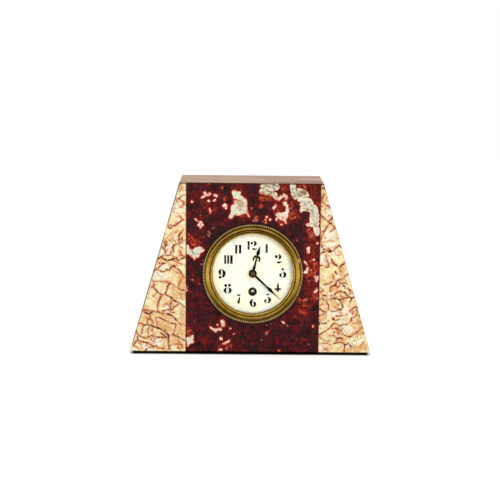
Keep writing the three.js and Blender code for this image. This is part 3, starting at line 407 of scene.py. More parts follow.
def red_ground(s, edge, drift, swirl):
    """The dark red mass of the panel, from nearly black to rusty, before its pale stones."""
    ground = s.ramp(
        s.noise(drift, 7, 6.0, 0.68),
        (0.30, (22, 13, 16)),
        (0.42, (42, 14, 16)),
        (0.52, (64, 19, 19)),
        (0.60, (88, 24, 22)),
        (0.74, (128, 38, 32)),
    )
    scraps = s.ramp(
        s.node("ShaderNodeSeparateColor", s.voronoi(edge, 3.6, output="Color")).outputs["Red"],
        (0.10, (30, 30, 26)),
        (0.35, (52, 26, 42)),
        (0.60, (70, 20, 20)),
        (0.85, (112, 28, 26)),
    )
    ground = s.paint(ground, s.patches(drift, (10, 3.0), 0.38, 0.60), 0.7, scraps)
    ground = s.clouded(
        ground, drift,
        ((40, 0, 9), (12, 4.0), 0.50, 0.66, 0.4, (96, 18, 32)),
        ((9, 40, 0), (9, 4.0), 0.54, 0.68, 0.6, (36, 26, 28)),
    )
    ember = s.ramp(swirl, (0.36, (54, 12, 8)), (0.50, (106, 22, 14)), (0.66, (180, 60, 40)))
    rusty = s.ramp(swirl, (0.32, (84, 18, 12)), (0.48, (146, 34, 20)), (0.64, (220, 108, 72)))
    stains = (
        (WARM_ZONES, 8, 8, 1, 0.55, ember),
        (BLACK_CLASTS, 3.2, 3.4, 0.4, 0.7, (30, 24, 26)),
        (RUSTY_CLASTS, 3.2, 3.8, 0.8, 0.85, rusty),
    )
    for strokes, ragged, outside, inside, strength, tint in stains:
        distance = s.plus(s.nearest(edge, strokes), s.times(swirl, ragged))
        ground = s.paint(ground, s.rise(distance, outside, inside), strength, tint)
    # Painted shade on the panel round the bezel's seat.
    ground = s.paint(ground, s.rise(s.vector("LENGTH", s.from_dial()), *SEAT_SHADE), 0.6, (30, 24, 28))
    grain = s.ramp(s.noise(s.place, 1.3, 4.0, 0.7), (0.34, (120, 116, 122)), (0.66, (246, 240, 236)))
    ground = s.mix(0.8, ground, grain, "OVERLAY")
    fleck = s.rise(s.voronoi(edge, 3.4), 0.16, 0.06)
    return s.paint(ground, s.times(fleck, s.patches(s.place, (9, 2.0), 0.52, 0.62)), 0.6, (176, 110, 108))


def pale_stone(s, drift, pale):
    """The colour of the pale stones, from their pink rims inwards."""
    inside = s.ramp(
        s.noise(drift, 4, 5.0, 0.6),
        (0.30, (184, 176, 150)),
        (0.42, (206, 222, 188)),
        (0.52, (236, 230, 206)),
        (0.62, (222, 222, 208)),
        (0.74, (214, 180, 140)),
    )
    body = s.mix(s.patches(s.place, (3.5, 3.0), 0.42, 0.60), (255, 236, 218), (232, 170, 150))
    rim = s.mix(s.rise(pale, -0.1, -0.8), (214, 110, 88), body)
    return s.mix(s.rise(pale, -1.9, -1.0), inside, rim)


def olive_stone(s, height, olive):
    """The colour of the olive vein, in folded bands that turn to pinkish cream lower down."""
    veined = s.ramp(
        s.noise(s.vector("MULTIPLY", s.warp(s.place, (6, 1.6)), (1, 1, 1.8)), 4.6, 5.0, 0.66),
        (0.34, (96, 84, 50)),
        (0.42, (172, 164, 132)),
        (0.50, (214, 208, 184)),
        (0.58, (242, 226, 204)),
        (0.68, (182, 150, 96)),
    )
    veined = s.paint(veined, s.rise(olive, -1.3, -0.5), 0.6, (244, 206, 180))
    return s.paint(veined, s.rise(height, *OLIVE_TURN), 0.5, (236, 214, 196))


def red_marble():
    """Dark red breccia with white, olive and rusty inclusions, polished."""
    s = Shader("red_marble", Specular_IOR_Level=0.06)
    place = s.parts(s.place)
    drift = s.warp(s.place, (12, 3.0), (4, 1.4))
    edge = s.chipped(s.warp(s.place, (5, 0.8), (1.4, 0.45)), 2.2, 0.45)
    swirl = s.noise(drift, 3.0, 4.0, 0.7)
    ground = red_ground(s, edge, drift, swirl)

    pale = s.minus(s.nearest(edge, PALE_CLASTS), CLAST_SWELL)
    olive = s.minus(s.nearest(edge, OLIVE_CLASTS), CLAST_SWELL)
    nearest = s.math("MINIMUM", olive, pale)
    ground = s.paint(ground, s.rise(nearest, 2.6, 0.3), 0.75, (104, 20, 12))
    ground = s.paint(ground, s.rise(nearest, 0.9, 0.1), 0.8, (166, 48, 28))
    pink = s.mix(s.rise(swirl, 0.4, 0.6), (206, 96, 78), (172, 104, 104))
    ground = s.paint(ground, s.rise(s.nearest(edge, SALMON_CLASTS), 0.5, -0.5), 0.85, pink)
    colour = s.mix(s.rise(pale, 0.1, -0.15), ground, pale_stone(s, drift, pale))
    colour = s.mix(s.rise(olive, 0.1, -0.15), colour, olive_stone(s, place["Z"], olive))

    stony = s.rise(nearest, 0.0, -0.3)
    spots = (
        (CREAM_SPOTS, 0.6, -0.6, 0.7, (255, 244, 206)),
        (ORANGE_SPOTS, 0.8, -0.6, 0.7, (206, 120, 66)),
        (OCHRE_SPOTS, 0.8, -0.6, 0.6, (168, 120, 62)),
        (DARK_FOLDS, 0.5, -0.3, 0.75, (84, 76, 44)),
    )
    for strokes, outside, inside, strength, tint in spots:
        spot = s.rise(s.nearest(edge, strokes), outside, inside)
        colour = s.paint(colour, s.times(spot, stony), strength, tint)
    seam = s.rise(s.math("ABSOLUTE", s.minus(place["X"], PANEL_X)), *PANEL_SEAM)
    colour = s.paint(colour, seam, 0.8, (26, 8, 8))
    return s.finished(capped(s, colour), polish(s, 6, 0.16), s.noise(s.place, 2.5, 4.0), 0.01)


# The veins of the two wings, from the strongest to the faintest: (half width, point, point, ...).
LEFT_DARK_VEINS = (
    (0.55, (-96, 100), (-92, 101), (-89, 99), (-86, 98), (-82, 99), (-79, 100)),
    (0.45, (-77, 101), (-75, 98), (-73, 99)), (0.45, (-71, 100), (-68, 102)),
    (0.25, (-74, 115), (-72, 117)), (0.35, (-82, 106)), (0.35, (-71, 172)), (0.3, (-70, 159)),
    (0.35, (-70, 140)), (0.25, (-75, 162), (-73, 163)), (0.5, (-84, 74)),
    (0.35, (-84, 73), (-86, 70), (-87, 66), (-88, 63)), (0.35, (-88, 88), (-86, 88)),
    (0.3, (-84, 88), (-82, 91), (-80, 92), (-78, 91)), (0.25, (-95, 88), (-91, 86), (-88, 87)),
    (0.45, (-99, 44), (-95, 44), (-93, 43), (-90, 42)),
    (0.35, (-110, 44), (-107, 42), (-104, 42), (-101, 44)), (0.35, (-86, 42), (-81, 40), (-77, 36)),
    (0.4, (-77, 36)), (0.45, (-110, 30), (-107, 30), (-104, 30)),
    (0.4, (-104, 30), (-99, 28), (-96, 27), (-91, 25), (-87, 22), (-85, 20)),
    (0.65, (-85, 20), (-85, 15), (-85, 10), (-84, 5)),
    (0.35, (-80, 20), (-76, 18), (-71, 16), (-68, 14)), (0.45, (-121, 8)), (0.35, (-117, 32)),
    (0.3, (-83, 48), (-81, 46)), (0.25, (-83, 60), (-81, 58), (-77, 55)), (0.3, (-100, 87), (-97, 89)),
    (0.25, (-93, 22), (-90, 20), (-87, 17)), (0.3, (-104, 40), (-104, 37)), (0.25, (-101, 32)),
)
LEFT_VEINS = (
    (0.3, (-74, 162), (-71, 165), (-69, 166)), (0.3, (-75, 162), (-72, 160), (-70, 159)),
    (0.25, (-85, 134), (-83, 135)), (0.4, (-82, 134), (-79, 134), (-76, 136), (-73, 138), (-70, 140)),
    (0.3, (-85, 133), (-84, 131), (-82, 132)), (0.4, (-70, 130), (-72, 127), (-74, 124), (-74, 118)),
    (0.25, (-71, 123), (-71, 117)),
    (0.35, (-72, 117), (-75, 115), (-79, 114), (-81, 111), (-82, 108), (-83, 104)),
    (0.25, (-74, 113), (-71, 111)), (0.35, (-73, 108), (-72, 104), (-69, 102)),
    (0.3, (-92, 113), (-90, 110), (-88, 108), (-86, 109)), (0.2, (-88, 108), (-88, 105)),
    (0.4, (-89, 118), (-87, 117)), (0.3, (-89, 116), (-88, 113), (-86, 115)),
    (0.25, (-92, 102), (-89, 104), (-86, 103), (-82, 104)), (0.3, (-81, 103), (-79, 101)),
    (0.25, (-80, 113), (-80, 106)), (0.3, (-97, 89), (-94, 91), (-92, 93), (-89, 95)),
    (0.3, (-78, 90), (-74, 88), (-72, 86), (-71, 83), (-69, 80)), (0.25, (-94, 95), (-88, 95)),
    (0.3, (-101, 77), (-100, 73), (-101, 70), (-103, 70)),
    (0.3, (-100, 70), (-97, 66), (-94, 63), (-91, 62), (-88, 62)),
    (0.3, (-88, 62), (-83, 60), (-78, 56), (-75, 54), (-72, 52), (-69, 50)),
    (0.3, (-82, 57), (-83, 53), (-83, 48)), (0.25, (-93, 60), (-95, 55), (-96, 51), (-96, 45)),
    (0.3, (-91, 45), (-85, 46), (-82, 46), (-78, 50), (-75, 52)),
    (0.25, (-111, 46), (-104, 45), (-100, 45)), (0.3, (-84, 44), (-79, 43)),
    (0.45, (-95, 38), (-90, 36), (-84, 33), (-81, 32), (-77, 31)),
    (0.3, (-77, 36), (-75, 34), (-73, 32), (-72, 30)),
    (0.25, (-77, 31), (-78, 27), (-79, 23), (-81, 20)), (0.3, (-104, 37), (-106, 36), (-107, 32)),
    (0.25, (-103, 36), (-101, 33)), (0.3, (-111, 30), (-112, 25), (-113, 21)),
    (0.25, (-105, 28), (-106, 24), (-106, 21)),
    (0.3, (-103, 19), (-99, 18), (-96, 17), (-92, 17), (-88, 17)),
    (0.35, (-119, 24), (-116, 19), (-112, 17), (-108, 16), (-105, 18)),
    (0.35, (-121, 8), (-119, 12), (-117, 14), (-117, 18)),
    (0.3, (-117, 14), (-112, 12), (-107, 11), (-103, 9), (-99, 7), (-95, 6), (-90, 5)),
    (0.25, (-109, 3), (-105, 6), (-100, 7), (-97, 8)), (0.25, (-121, 8), (-117, 6), (-115, 4)),
    (0.2, (-116, 13), (-114, 9), (-112, 5)), (0.35, (-74, 68), (-71, 67), (-69, 67)),
    (0.2, (-116, 32), (-111, 31)), (0.2, (-104, 19), (-102, 14), (-100, 12)),
    (0.25, (-71, 9), (-70, 6)), (0.25, (-75, 6), (-73, 5)),
)
LEFT_FAINT_VEINS = (
    (0.3, (-76, 144), (-73, 144), (-71, 141)), (0.25, (-74, 153), (-71, 153)), (0.2, (-78, 152)),
    (0.25, (-78, 127), (-75, 129)),
    (0.3, (-100, 76), (-95, 76), (-90, 76), (-85, 75), (-79, 72), (-75, 69)),
    (0.6, (-72, 78), (-74, 74), (-75, 70)), (0.4, (-101, 28), (-102, 24)), (0.3, (-98, 38), (-98, 34)),
    (0.3, (-96, 33), (-97, 30)), (0.4, (-108, 38), (-105, 36)), (0.3, (-79, 98), (-74, 95), (-71, 94)),
    (0.5, (-77, 161), (-76, 159)), (0.6, (-69, 157), (-70, 155)), (0.3, (-100, 60), (-97, 64)),
    (0.3, (-90, 50), (-87, 53), (-85, 52)), (0.3, (-82, 9), (-72, 10)), (0.3, (-89, 112), (-88, 120)),
    (0.4, (-79, 87), (-74, 84)),
)
RIGHT_DARK_VEINS = (
    (0.35, (78, 156), (81, 154)), (0.3, (72, 145), (74, 143)), (0.4, (80, 138), (82, 138)),
    (0.25, (84, 132)), (0.2, (76, 123)), (0.4, (71, 106), (75, 108), (76, 109)),
    (0.5, (75, 111), (78, 109), (81, 109)), (0.35, (77, 111), (81, 108), (85, 110), (87, 112)),
    (0.25, (87, 112), (89, 114), (91, 115), (92, 113)), (0.3, (94, 95), (97, 97)),
    (0.3, (78, 92), (80, 93)), (0.25, (88, 94), (86, 96)), (0.25, (87, 88), (89, 85)),
    (0.5, (96, 73), (98, 71)), (0.35, (100, 70), (103, 68)), (0.25, (105, 66)),
    (0.35, (86, 73), (88, 74)), (0.4, (87, 64), (90, 66)), (0.45, (93, 67)),
    (0.35, (97, 66), (99, 64), (101, 62), (105, 60), (108, 62)), (0.45, (83, 62)),
    (0.3, (83, 59), (87, 60), (90, 59), (92, 58), (96, 60), (100, 60)),
    (0.3, (92, 58), (94, 55), (96, 51)), (0.45, (96, 50)), (0.35, (91, 48), (94, 48)),
    (0.3, (83, 46), (87, 46), (90, 47)), (0.35, (81, 53)), (0.35, (111, 51), (112, 49)),
    (0.35, (113, 42)), (0.45, (89, 41), (91, 41)), (0.35, (71, 34), (72, 32)),
    (0.3, (74, 33), (78, 33)), (0.3, (85, 28)), (0.3, (88, 28), (91, 27)), (0.4, (93, 18), (96, 17)),
    (0.3, (89, 14), (91, 17), (93, 18)), (0.35, (87, 12), (90, 13)), (0.35, (98, 11), (102, 12)),
    (0.35, (104, 10), (106, 8)), (0.3, (72, 66), (75, 67)), (0.25, (75, 63), (78, 62)),
    (0.3, (100, 43)), (0.25, (79, 6)), (0.3, (71, 177)), (0.3, (74, 178)),
)
RIGHT_VEINS = (
    (0.3, (70, 178), (73, 179), (75, 177), (74, 175), (71, 174)),
    (0.3, (71, 174), (75, 174), (77, 171)), (0.35, (71, 172)),
    (0.3, (74, 167), (72, 163), (72, 160), (76, 157), (79, 155)), (0.3, (70, 156), (73, 155)),
    (0.3, (71, 152)),
    (0.3, (70, 148), (74, 143), (77, 141), (80, 139), (81, 138),
     (79, 136), (77, 133), (76, 131), (71, 128)),
    (0.25, (81, 138), (84, 135), (86, 133), (84, 132), (81, 129)),
    (0.35, (79, 140), (82, 142), (84, 145)), (0.4, (76, 131), (74, 127), (72, 123), (71, 119)),
    (0.4, (73, 113), (73, 115), (71, 116)), (0.3, (79, 112), (82, 110)),
    (0.3, (77, 105), (78, 101), (80, 96), (80, 93)), (0.3, (83, 100), (86, 96), (89, 94)),
    (0.25, (97, 97), (94, 95), (92, 93)), (0.25, (71, 94), (76, 94), (78, 92)),
    (0.35, (100, 85), (97, 83), (95, 80), (91, 79), (89, 78),
     (88, 75), (86, 73), (83, 72), (82, 69), (83, 67)),
    (0.3, (90, 78), (93, 75), (97, 76), (99, 75)), (0.25, (87, 74), (90, 71), (92, 73)),
    (0.3, (76, 74), (80, 75), (84, 77)), (0.3, (90, 66), (93, 67), (97, 66)),
    (0.3, (81, 48), (81, 52), (79, 55), (78, 58), (75, 58)),
    (0.3, (70, 50), (72, 48), (75, 46), (78, 45), (76, 43), (71, 41)),
    (0.35, (103, 46), (105, 48), (107, 50), (111, 51)),
    (0.3, (110, 48), (111, 46), (110, 43), (113, 42)),
    (0.3, (110, 43), (108, 40), (105, 39), (105, 37), (103, 34),
     (100, 32), (97, 32), (94, 31), (91, 31)),
    (0.35, (89, 33), (86, 33), (83, 29), (80, 26), (76, 24), (72, 21)), (0.3, (91, 41), (96, 42)),
    (0.4, (85, 39), (88, 36), (92, 38)), (0.3, (78, 33), (81, 36)),
    (0.3, (85, 28), (88, 28), (91, 26), (94, 25), (96, 22), (98, 20)), (0.45, (87, 25), (87, 23)),
    (0.35, (99, 20), (103, 19), (106, 20), (109, 23), (112, 25), (115, 28), (117, 29)),
    (0.4, (90, 13), (93, 13), (96, 13), (99, 11)), (0.4, (99, 11), (98, 8), (98, 4)),
    (0.3, (72, 19), (75, 16), (79, 15), (82, 14)), (0.3, (76, 5), (79, 6), (80, 7), (81, 5)),
    (0.3, (70, 70), (73, 70), (75, 68), (73, 66)), (0.25, (83, 20), (87, 20), (91, 17)),
    (0.3, (102, 6)), (0.2, (73, 28)), (0.3, (101, 61), (103, 66), (103, 68)),
    (0.25, (105, 60), (103, 56)),
)
RIGHT_FAINT_VEINS = (
    (0.3, (72, 118), (77, 119), (81, 120), (85, 119)), (0.25, (88, 122), (90, 123)),
    (0.6, (84, 97), (86, 95)), (0.4, (90, 109), (92, 106), (89, 105)), (0.4, (91, 53)),
    (0.5, (106, 33), (112, 34), (116, 35)), (0.6, (117, 23)), (0.4, (75, 59), (75, 55), (72, 52)),
    (0.5, (91, 92), (93, 88)), (0.7, (71, 168), (71, 162)), (0.4, (84, 82), (86, 80), (85, 84)),
    (0.4, (93, 62), (96, 58)), (0.5, (107, 46), (106, 43)), (0.4, (93, 22), (90, 24)),
    (0.3, (84, 10), (80, 12), (75, 12)), (0.5, (118, 13), (115, 9)), (0.5, (94, 44), (88, 50)),
)
# Stones of the wings that are browner than the rest, and the whitest ones.
LEFT_TAN_STONES = (
    (4, (-93, 31), (-87, 28)), (3.5, (-77, 14), (-72, 9)), (2.5, (-73, 26), (-71, 22)),
    (3, (-80, 68), (-77, 62)), (3, (-71, 80), (-70, 60)), (2.5, (-70, 46), (-70, 32)),
    (2, (-89, 41), (-82, 37)), (2, (-103, 25), (-100, 22)), (1.6, (-72, 175)),
)
LEFT_WHITE_STONES = (
    (2.5, (-93, 91), (-86, 91)), (2.5, (-98, 83), (-88, 82)), (2.5, (-110, 8), (-104, 4)),
    (3, (-100, 13), (-94, 11)), (2.5, (-77, 148), (-73, 148)), (2, (-93, 106), (-91, 104)),
    (2, (-86, 113), (-85, 106)), (2, (-72, 137)),
)
RIGHT_TAN_STONES = (
    (3, (86, 55), (88, 52)), (2.4, (84, 70), (88, 70)), (3, (93, 91), (94, 86)),
    (2, (95, 61), (97, 57)), (2, (93, 79), (98, 78)), (2, (72, 168), (72, 160)),
    (3, (112, 6), (118, 9)), (2, (73, 79), (76, 77)), (2.5, (117, 24), (112, 38)),
    (2, (73, 36), (76, 38)),
)
RIGHT_WHITE_STONES = (
    (2.5, (82, 44), (91, 44)), (2.5, (98, 50), (103, 43)), (2, (72, 112), (72, 109)),
    (3, (73, 103), (75, 98)), (3, (80, 150), (77, 146)), (2.5, (90, 36), (97, 37)),
    (3, (97, 28), (104, 26)), (2, (76, 8), (72, 5)), (2, (92, 20)), (2, (71, 71)),
    (3, (84, 116), (80, 125)),
)
# The wings' looks: the side that each is on, its veins, and its tan and white stones.
WINGS = {
    "cream_marble_left": (
        -1, (LEFT_DARK_VEINS, LEFT_VEINS, LEFT_FAINT_VEINS), LEFT_TAN_STONES, LEFT_WHITE_STONES,
    ),
    "cream_marble_right": (
        1, (RIGHT_DARK_VEINS, RIGHT_VEINS, RIGHT_FAINT_VEINS), RIGHT_TAN_STONES, RIGHT_WHITE_STONES,
    ),
}


# How strong the painted shade on the right wing's arris is; on the left one it is painted in patches.
FAINT_ARRIS_SHADE = 0.25


def cream_ground(s, jitter, tan_stones, white_stones):
    """Cream and peach stones, before their veins."""
    drift = s.warp(s.place, (16, 4.0), (5, 1.8))
    stone_tone = s.voronoi(drift, 11, output="Color")
    ground = s.ramp(
        s.plus(s.times(s.noise(drift, 12, 4.0), 0.75), s.times(stone_tone, 0.25)),
        (0.34, (255, 253, 212)),
        (0.46, (255, 246, 190)),
        (0.56, (255, 232, 168)),
        (0.70, (246, 202, 140)),
    )
    cloud = s.noise(drift, 4, 5.0, 0.7)
    ground = s.mix(s.rise(cloud, 0.52, 0.70), ground, (255, 246, 226))
    for stones, tint in ((tan_stones, (230, 184, 118)), (white_stones, (255, 252, 232))):
        if stones:
            distance = s.plus(s.nearest(jitter, stones), s.times(cloud, 3))
            ground = s.paint(ground, s.rise(distance, 3.4, 0.4), 0.75, tint)
    ground = s.clouded(ground, drift, ((7, 31, 3), (6, 5.0, 0.7), 0.54, 0.68, 0.5, (242, 158, 116)))
    grain = s.ramp(s.noise(s.place, 1.4, 3.0, 0.7), (0.36, (186, 176, 162)), (0.62, (218, 217, 214)))
    return s.mix(0.35, ground, grain, "OVERLAY")


def fine_cracks(s, ground, jitter):
    """The stone with three sizes of brown cracks, which come and go."""
    patchy = s.patches(s.place, (14, 3.0), 0.40, 0.60)
    cracks = (
        (8.0, 0.055, 0.75, (156, 66, 34)),
        (4.2, 0.085, 0.75, (190, 90, 52)),
        (2.2, 0.130, 0.60, (216, 118, 78)),
    )
    for size, width, strength, tint in cracks:
        crack = s.rise(s.voronoi(jitter, size, "DISTANCE_TO_EDGE"), width, width * 0.15)
        broken = s.patches(s.vector("ADD", s.place, (size, 0, size)), (size, 2.0), 0.42, 0.55)
        mask = s.times(crack, s.times(broken, strength))
        ground = s.paint(ground, mask, s.scaled(patchy, 0.7, 0.3), tint)
    return ground


def drawn_veins(s, ground, jitter, veins, shallow):
    """The stone with its own veins, each with a rusty stain on both sides, no deeper than the front."""
    swell = s.scaled(s.noise(s.place, 1.9, 3.0, 0.6), 2.2, -1.1)
    fading = s.scaled(s.patches(s.place, (4, 3.0), 0.36, 0.54), 0.45, 0.55)
    paints = (
        (0.80, (206, 116, 70), (176, 84, 48)),
        (0.96, (150, 56, 32), (96, 36, 20)),
        (1.00, (76, 24, 16), (30, 10, 6)),
    )
    for strokes, (strength, light, dark) in zip(reversed(veins), paints):
        distance = s.plus(s.nearest(jitter, strokes), swell)
        strength = s.times(shallow, fading, strength)
        ground = s.paint(ground, s.rise(distance, 2.0, 0.1), s.times(strength, 0.66), (226, 128, 84))
        shade = s.mix(s.patches(s.place, (3.2, 3.0), 0.42, 0.58), light, dark)
        ground = s.paint(ground, s.rise(distance, 0.6, 0.0), strength, shade)
    return ground


def arris_shade_and_seam(s, ground, side, shallow):
    """A wing's stone, with painted shade down its outer arris and a rusty seam along the panel."""
    place = s.parts(s.place)
    out = s.times(place["X"], side)
    slope = s.scaled(place["Z"], -WING_LEAN, BASE_HALF_WIDTH + WING_FOOT * WING_LEAN)
    # Painted shade down the outer arris: in patches on the left, faint all along on the right.
    arris_shade = s.patches(s.place, (14, 2.0), 0.30, 0.46) if side < 0 else FAINT_ARRIS_SHADE
    arris = s.rise(s.minus(slope, out), 1.5, 0.8)
    ground = s.paint(ground, arris, s.times(arris_shade, s.times(shallow, 0.8)), (92, 70, 40))
    seam = s.rise(s.minus(out, side * PANEL_X + PANEL_HALF_WIDTH), 1.0, 0.3)
    return s.paint(ground, seam, 0.55, (196, 110, 70))


def cream_marble(name, side=0, veins=(), tan_stones=(), white_stones=()):
    """Cream and peach breccia with rusty cracks; a wing, on side -1 or 1, has its own veins as well."""
    s = Shader(name, Specular_IOR_Level=0.15)
    jitter = s.warp(s.place, (8, 0.6), (2.2, 0.7), (0.8, 0.4))
    colour = fine_cracks(s, cream_ground(s, jitter, tan_stones, white_stones), jitter)
    if side:
        shallow = s.rise(s.parts(s.place)["Y"], *VEIN_FADE)
        colour = drawn_veins(s, colour, jitter, veins, shallow)
        colour = capped(s, arris_shade_and_seam(s, colour, side, shallow))
    return s.finished(colour, polish(s, 5, 0.18), s.noise(s.place, 2.0, 4.0), 0.01)


def top_marble():
    """The buff stone, satin rather than polished."""
    s = Shader("top_marble", Specular_IOR_Level=0.15)
    along, colour = buff_stone(s)
    return s.finished(colour, s.scaled(s.noise(s.place, 3, 4.0), 0.2, 0.42), s.noise(along, 1.6, 5.0), 0.03)


# ---------------------------------------------------------------- felt, metal, enamel and glass
def felt():
    """Dark pressed felt with short loose fibres."""
    s = Shader("felt", Sheen_Weight=0.4, Sheen_Roughness=0.5, Specular_IOR_Level=0.1)
    fibre = s.noise(s.warp(s.place, (1.5, 0.6)), 0.5, 5.0, 0.7)
    return s.finished(s.ramp(fibre, (0.3, (16, 13, 12)), (0.7, (52, 45, 40))), 0.95, fibre, 0.25)


def brass(name, bright, dull, roughness, tarnish_and_shade=(), oiled=()):
    """Brass with dull clouds and spots, and with faint turning marks where it has dark rings.

    The rings lie about the dial, each (radius, half width, side, strength): side 0 is all round, for
    tarnish in the hollows, and 1 for the upper half and -1 for the lower half, for painted shade on the
    slopes.
    Black places, each (radius, point), are oil on a pivot and painted shade round the winding arbor.
    """
    s = Shader(name, Metallic=1.0)
    cloud = s.noise(s.warp(s.place, (10, 3.0)), 9, 5.0, 0.6)
    colour = s.mix(s.rise(cloud, 0.34, 0.74), bright, dull)
    colour = s.paint(colour, s.patches(s.place, (1.3, 4.0, 0.6), 0.60, 0.72), 0.35, (110, 78, 30))
    grain = s.noise(s.place, 0.75, 2.0)
    if tarnish_and_shade:
        from_centre = s.from_dial()
        out = s.vector("LENGTH", from_centre)
        turning_marks = s.noise(s.node("ShaderNodeCombineXYZ", out).outputs[0], 0.8, 3.0, 0.7)
        grain = s.plus(grain, turning_marks)
        height = s.plus(s.parts(from_centre)["Z"], s.scaled(cloud, 12, -6))
        for radius, half_width, side, strength in tarnish_and_shade:
            band = s.rise(s.math("ABSOLUTE", s.minus(out, radius)), half_width, half_width * 0.4)
            # A ring on one half only is painted shade, darker at the top or at the bottom.
            if side:
                band = s.times(band, s.rise(s.times(height, side), -6, 34))
            colour = s.paint(colour, band, strength, (48, 26, 6))
    if oiled:
        # Black places: oil on the centre wheel's pivot, and painted shade on the front plate round the
        # winding arbor.
        colour = s.paint(colour, s.rise(s.nearest(s.place, oiled), 1.0, -0.5), 0.95, (16, 12, 8))
    return s.finished(colour, s.scaled(cloud, 0.25, roughness - 0.1), grain, 0.01)


def steel(name, light, dark, roughness, glints=()):
    """Ground steel with fine scratches; light and dark are its clean and its stained colour.

    Painted highlights, each (radius, point, point), are nearly white.
    """
    s = Shader(name, Metallic=1.0)
    scratch = s.noise(s.vector("MULTIPLY", s.place, (1, 6, 1)), 0.7, 4.0, 0.6)
    colour = s.mix(s.patches(s.place, (5, 4.0, 0.6), 0.45, 0.7), light, dark)
    if glints:
        # Painted highlights, nearly white.
        colour = s.mix(s.rise(s.nearest(s.place, glints), 0.5, -0.3), colour, (236, 230, 222))
    return s.finished(colour, s.scaled(scratch, 0.2, roughness - 0.1), scratch, 0.01)


def enamel():
    """Warm white vitreous enamel with faint clouds, handling marks round the centre, and patchy painted
    shade round the edge.
    """
    s = Shader("enamel", Coat_Weight=0.3, Coat_Roughness=0.08, Specular_IOR_Level=0.3)
    cloud = s.noise(s.warp(s.place, (20, 6.0)), 14, 4.0, 0.6)
    colour = s.ramp(cloud, (0.36, (208, 215, 203)), (0.48, (233, 231, 210)), (0.64, (242, 230, 196)))
    out = s.vector("LENGTH", s.from_dial())
    handled = s.times(s.rise(out, 12, 3), s.patches(s.place, (4, 4.0), 0.40, 0.65))
    colour = s.paint(colour, handled, 0.6, (226, 202, 150))
    # Patchy painted shade round the edge, where the bezel shades the dial.
    edge = s.times(s.rise(out, 35, 41), s.patches(s.place, (6, 4.0), 0.35, 0.6))
    colour = s.paint(colour, edge, 0.6, (208, 200, 168))
    colour = s.paint(colour, s.patches(s.place, (0.9, 2.0), 0.74, 0.79), 0.5, (170, 150, 120))
    return s.finished(colour, s.scaled(cloud, 0.12, 0.14), s.noise(s.place, 8, 3.0), 0.03)


def dial_paint():
    """Fired black numerals, a little uneven in tone."""
    s = Shader("dial_paint", Specular_IOR_Level=0.05)
    wear = s.noise(s.place, 1.5, 5.0, 0.65)
    colour = s.ramp(wear, (0.35, (8, 7, 8)), (0.75, (30, 26, 24)))
    return s.finished(colour, s.scaled(wear, 0.3, 0.25), wear, 0.01)


FAINT = (0.12, 0.12, 0.12, 1)


def clear_glass():
    """Thin clear glass that lamps shine through, with faint smears."""
    s = Shader("clear_glass", Transmission_Weight=1.0, IOR=1.45, Specular_Tint=FAINT, Base_Color=WHITE)
    smear = s.patches(s.warp(s.place, (15, 6.0)), (12, 4.0, 0.6), 0.50, 0.75)
    s.fill(s.surface, Roughness=s.times(smear, 0.04))
    shadow_ray = s.node("ShaderNodeLightPath").outputs["Is Shadow Ray"]
    open_way = s.shader("ShaderNodeBsdfTransparent")
    s.fill(s.output, Surface=s.either(shadow_ray, s.surface.outputs[0], open_way))
    return s.material


# Dark rings on the bezel and the seat: those all round are tarnish in the hollows, those on one half are
# painted shade.
BEZEL_TARNISH_AND_SHADE = (
    (41.3, 0.9, 0, 0.5), (41.2, 1.0, -1, 0.7), (44.1, 0.7, 0, 0.75), (44.1, 0.6, 1, 0.9),
    (42.9, 0.7, 1, 0.5), (46.1, 1.3, 1, 1.0), (47.8, 0.9, 1, 0.4), (42.9, 0.6, -1, 0.4),
    (46.4, 1.3, -1, 0.85), (47.9, 0.9, -1, 0.95),
)
SEAT_TARNISH_AND_SHADE = ((50.5, 0.9, 0, 0.97), (49.4, 0.7, 0, 0.45), (49.4, 0.9, 1, 0.85))
COLLET_TARNISH = ((2.9, 1.2, 0, 1.0), (0.4, 0.8, 0, 0.9))
CLEAN_BRASS = ((200, 166, 96), (168, 128, 64), 0.34)
# Each brass by name: its bright and dull colours, its roughness, and then its rings of tarnish and painted
# shade.
BRASSES = {
    "gilt_brass": ((214, 176, 80), (172, 128, 40), 0.26, BEZEL_TARNISH_AND_SHADE),
    "seat_brass": ((216, 182, 92), (164, 132, 54), 0.28, SEAT_TARNISH_AND_SHADE),
    "bead_brass": ((255, 238, 186), (226, 200, 132), 0.24),
    "brass": CLEAN_BRASS,
    "old_brass": ((106, 80, 48), (66, 46, 24), 0.40, COLLET_TARNISH),
    # The front plate has a painted shade round the winding arbor, where it lies dark behind the dial.
    "shaded_plate": (*CLEAN_BRASS, (), ((7, WINDING_CENTRE),)),
    "oiled_wheel": (*CLEAN_BRASS, (), ((1.2, (DIAL_X, DIAL_HEIGHT)),)),
}
# A painted highlight on the upper part of the winding arbor's end.
GLINT_HEIGHT = DIAL_HEIGHT - WINDING_DROP + 0.8
PAINTED_GLINT = (0.7, (DIAL_X - 0.5, GLINT_HEIGHT), (DIAL_X + 0.5, GLINT_HEIGHT))
# Each steel by name: its clean and its stained colour, its roughness, and then where a highlight is painted
# on it.
STEELS = {
    "steel": ((176, 178, 182), (128, 124, 120), 0.32),
    "winding_steel": ((60, 56, 54), (30, 26, 24), 0.34, (PAINTED_GLINT,)),
    "blued_steel": ((9, 9, 12), (18, 15, 15), 0.34),
}
LOOKS = {
    "red_marble": red_marble(),
    "cream_marble": cream_marble("cream_marble"),
    **{name: cream_marble(name, *wing) for name, wing in WINGS.items()},
    "top_marble": top_marble(),
    "felt": felt(),
    **{name: brass(name, *metal) for name, metal in BRASSES.items()},
    **{name: steel(name, *metal) for name, metal in STEELS.items()},
    "enamel": enamel(),
    "dial_paint": dial_paint(),
    "glass": clear_glass(),
}


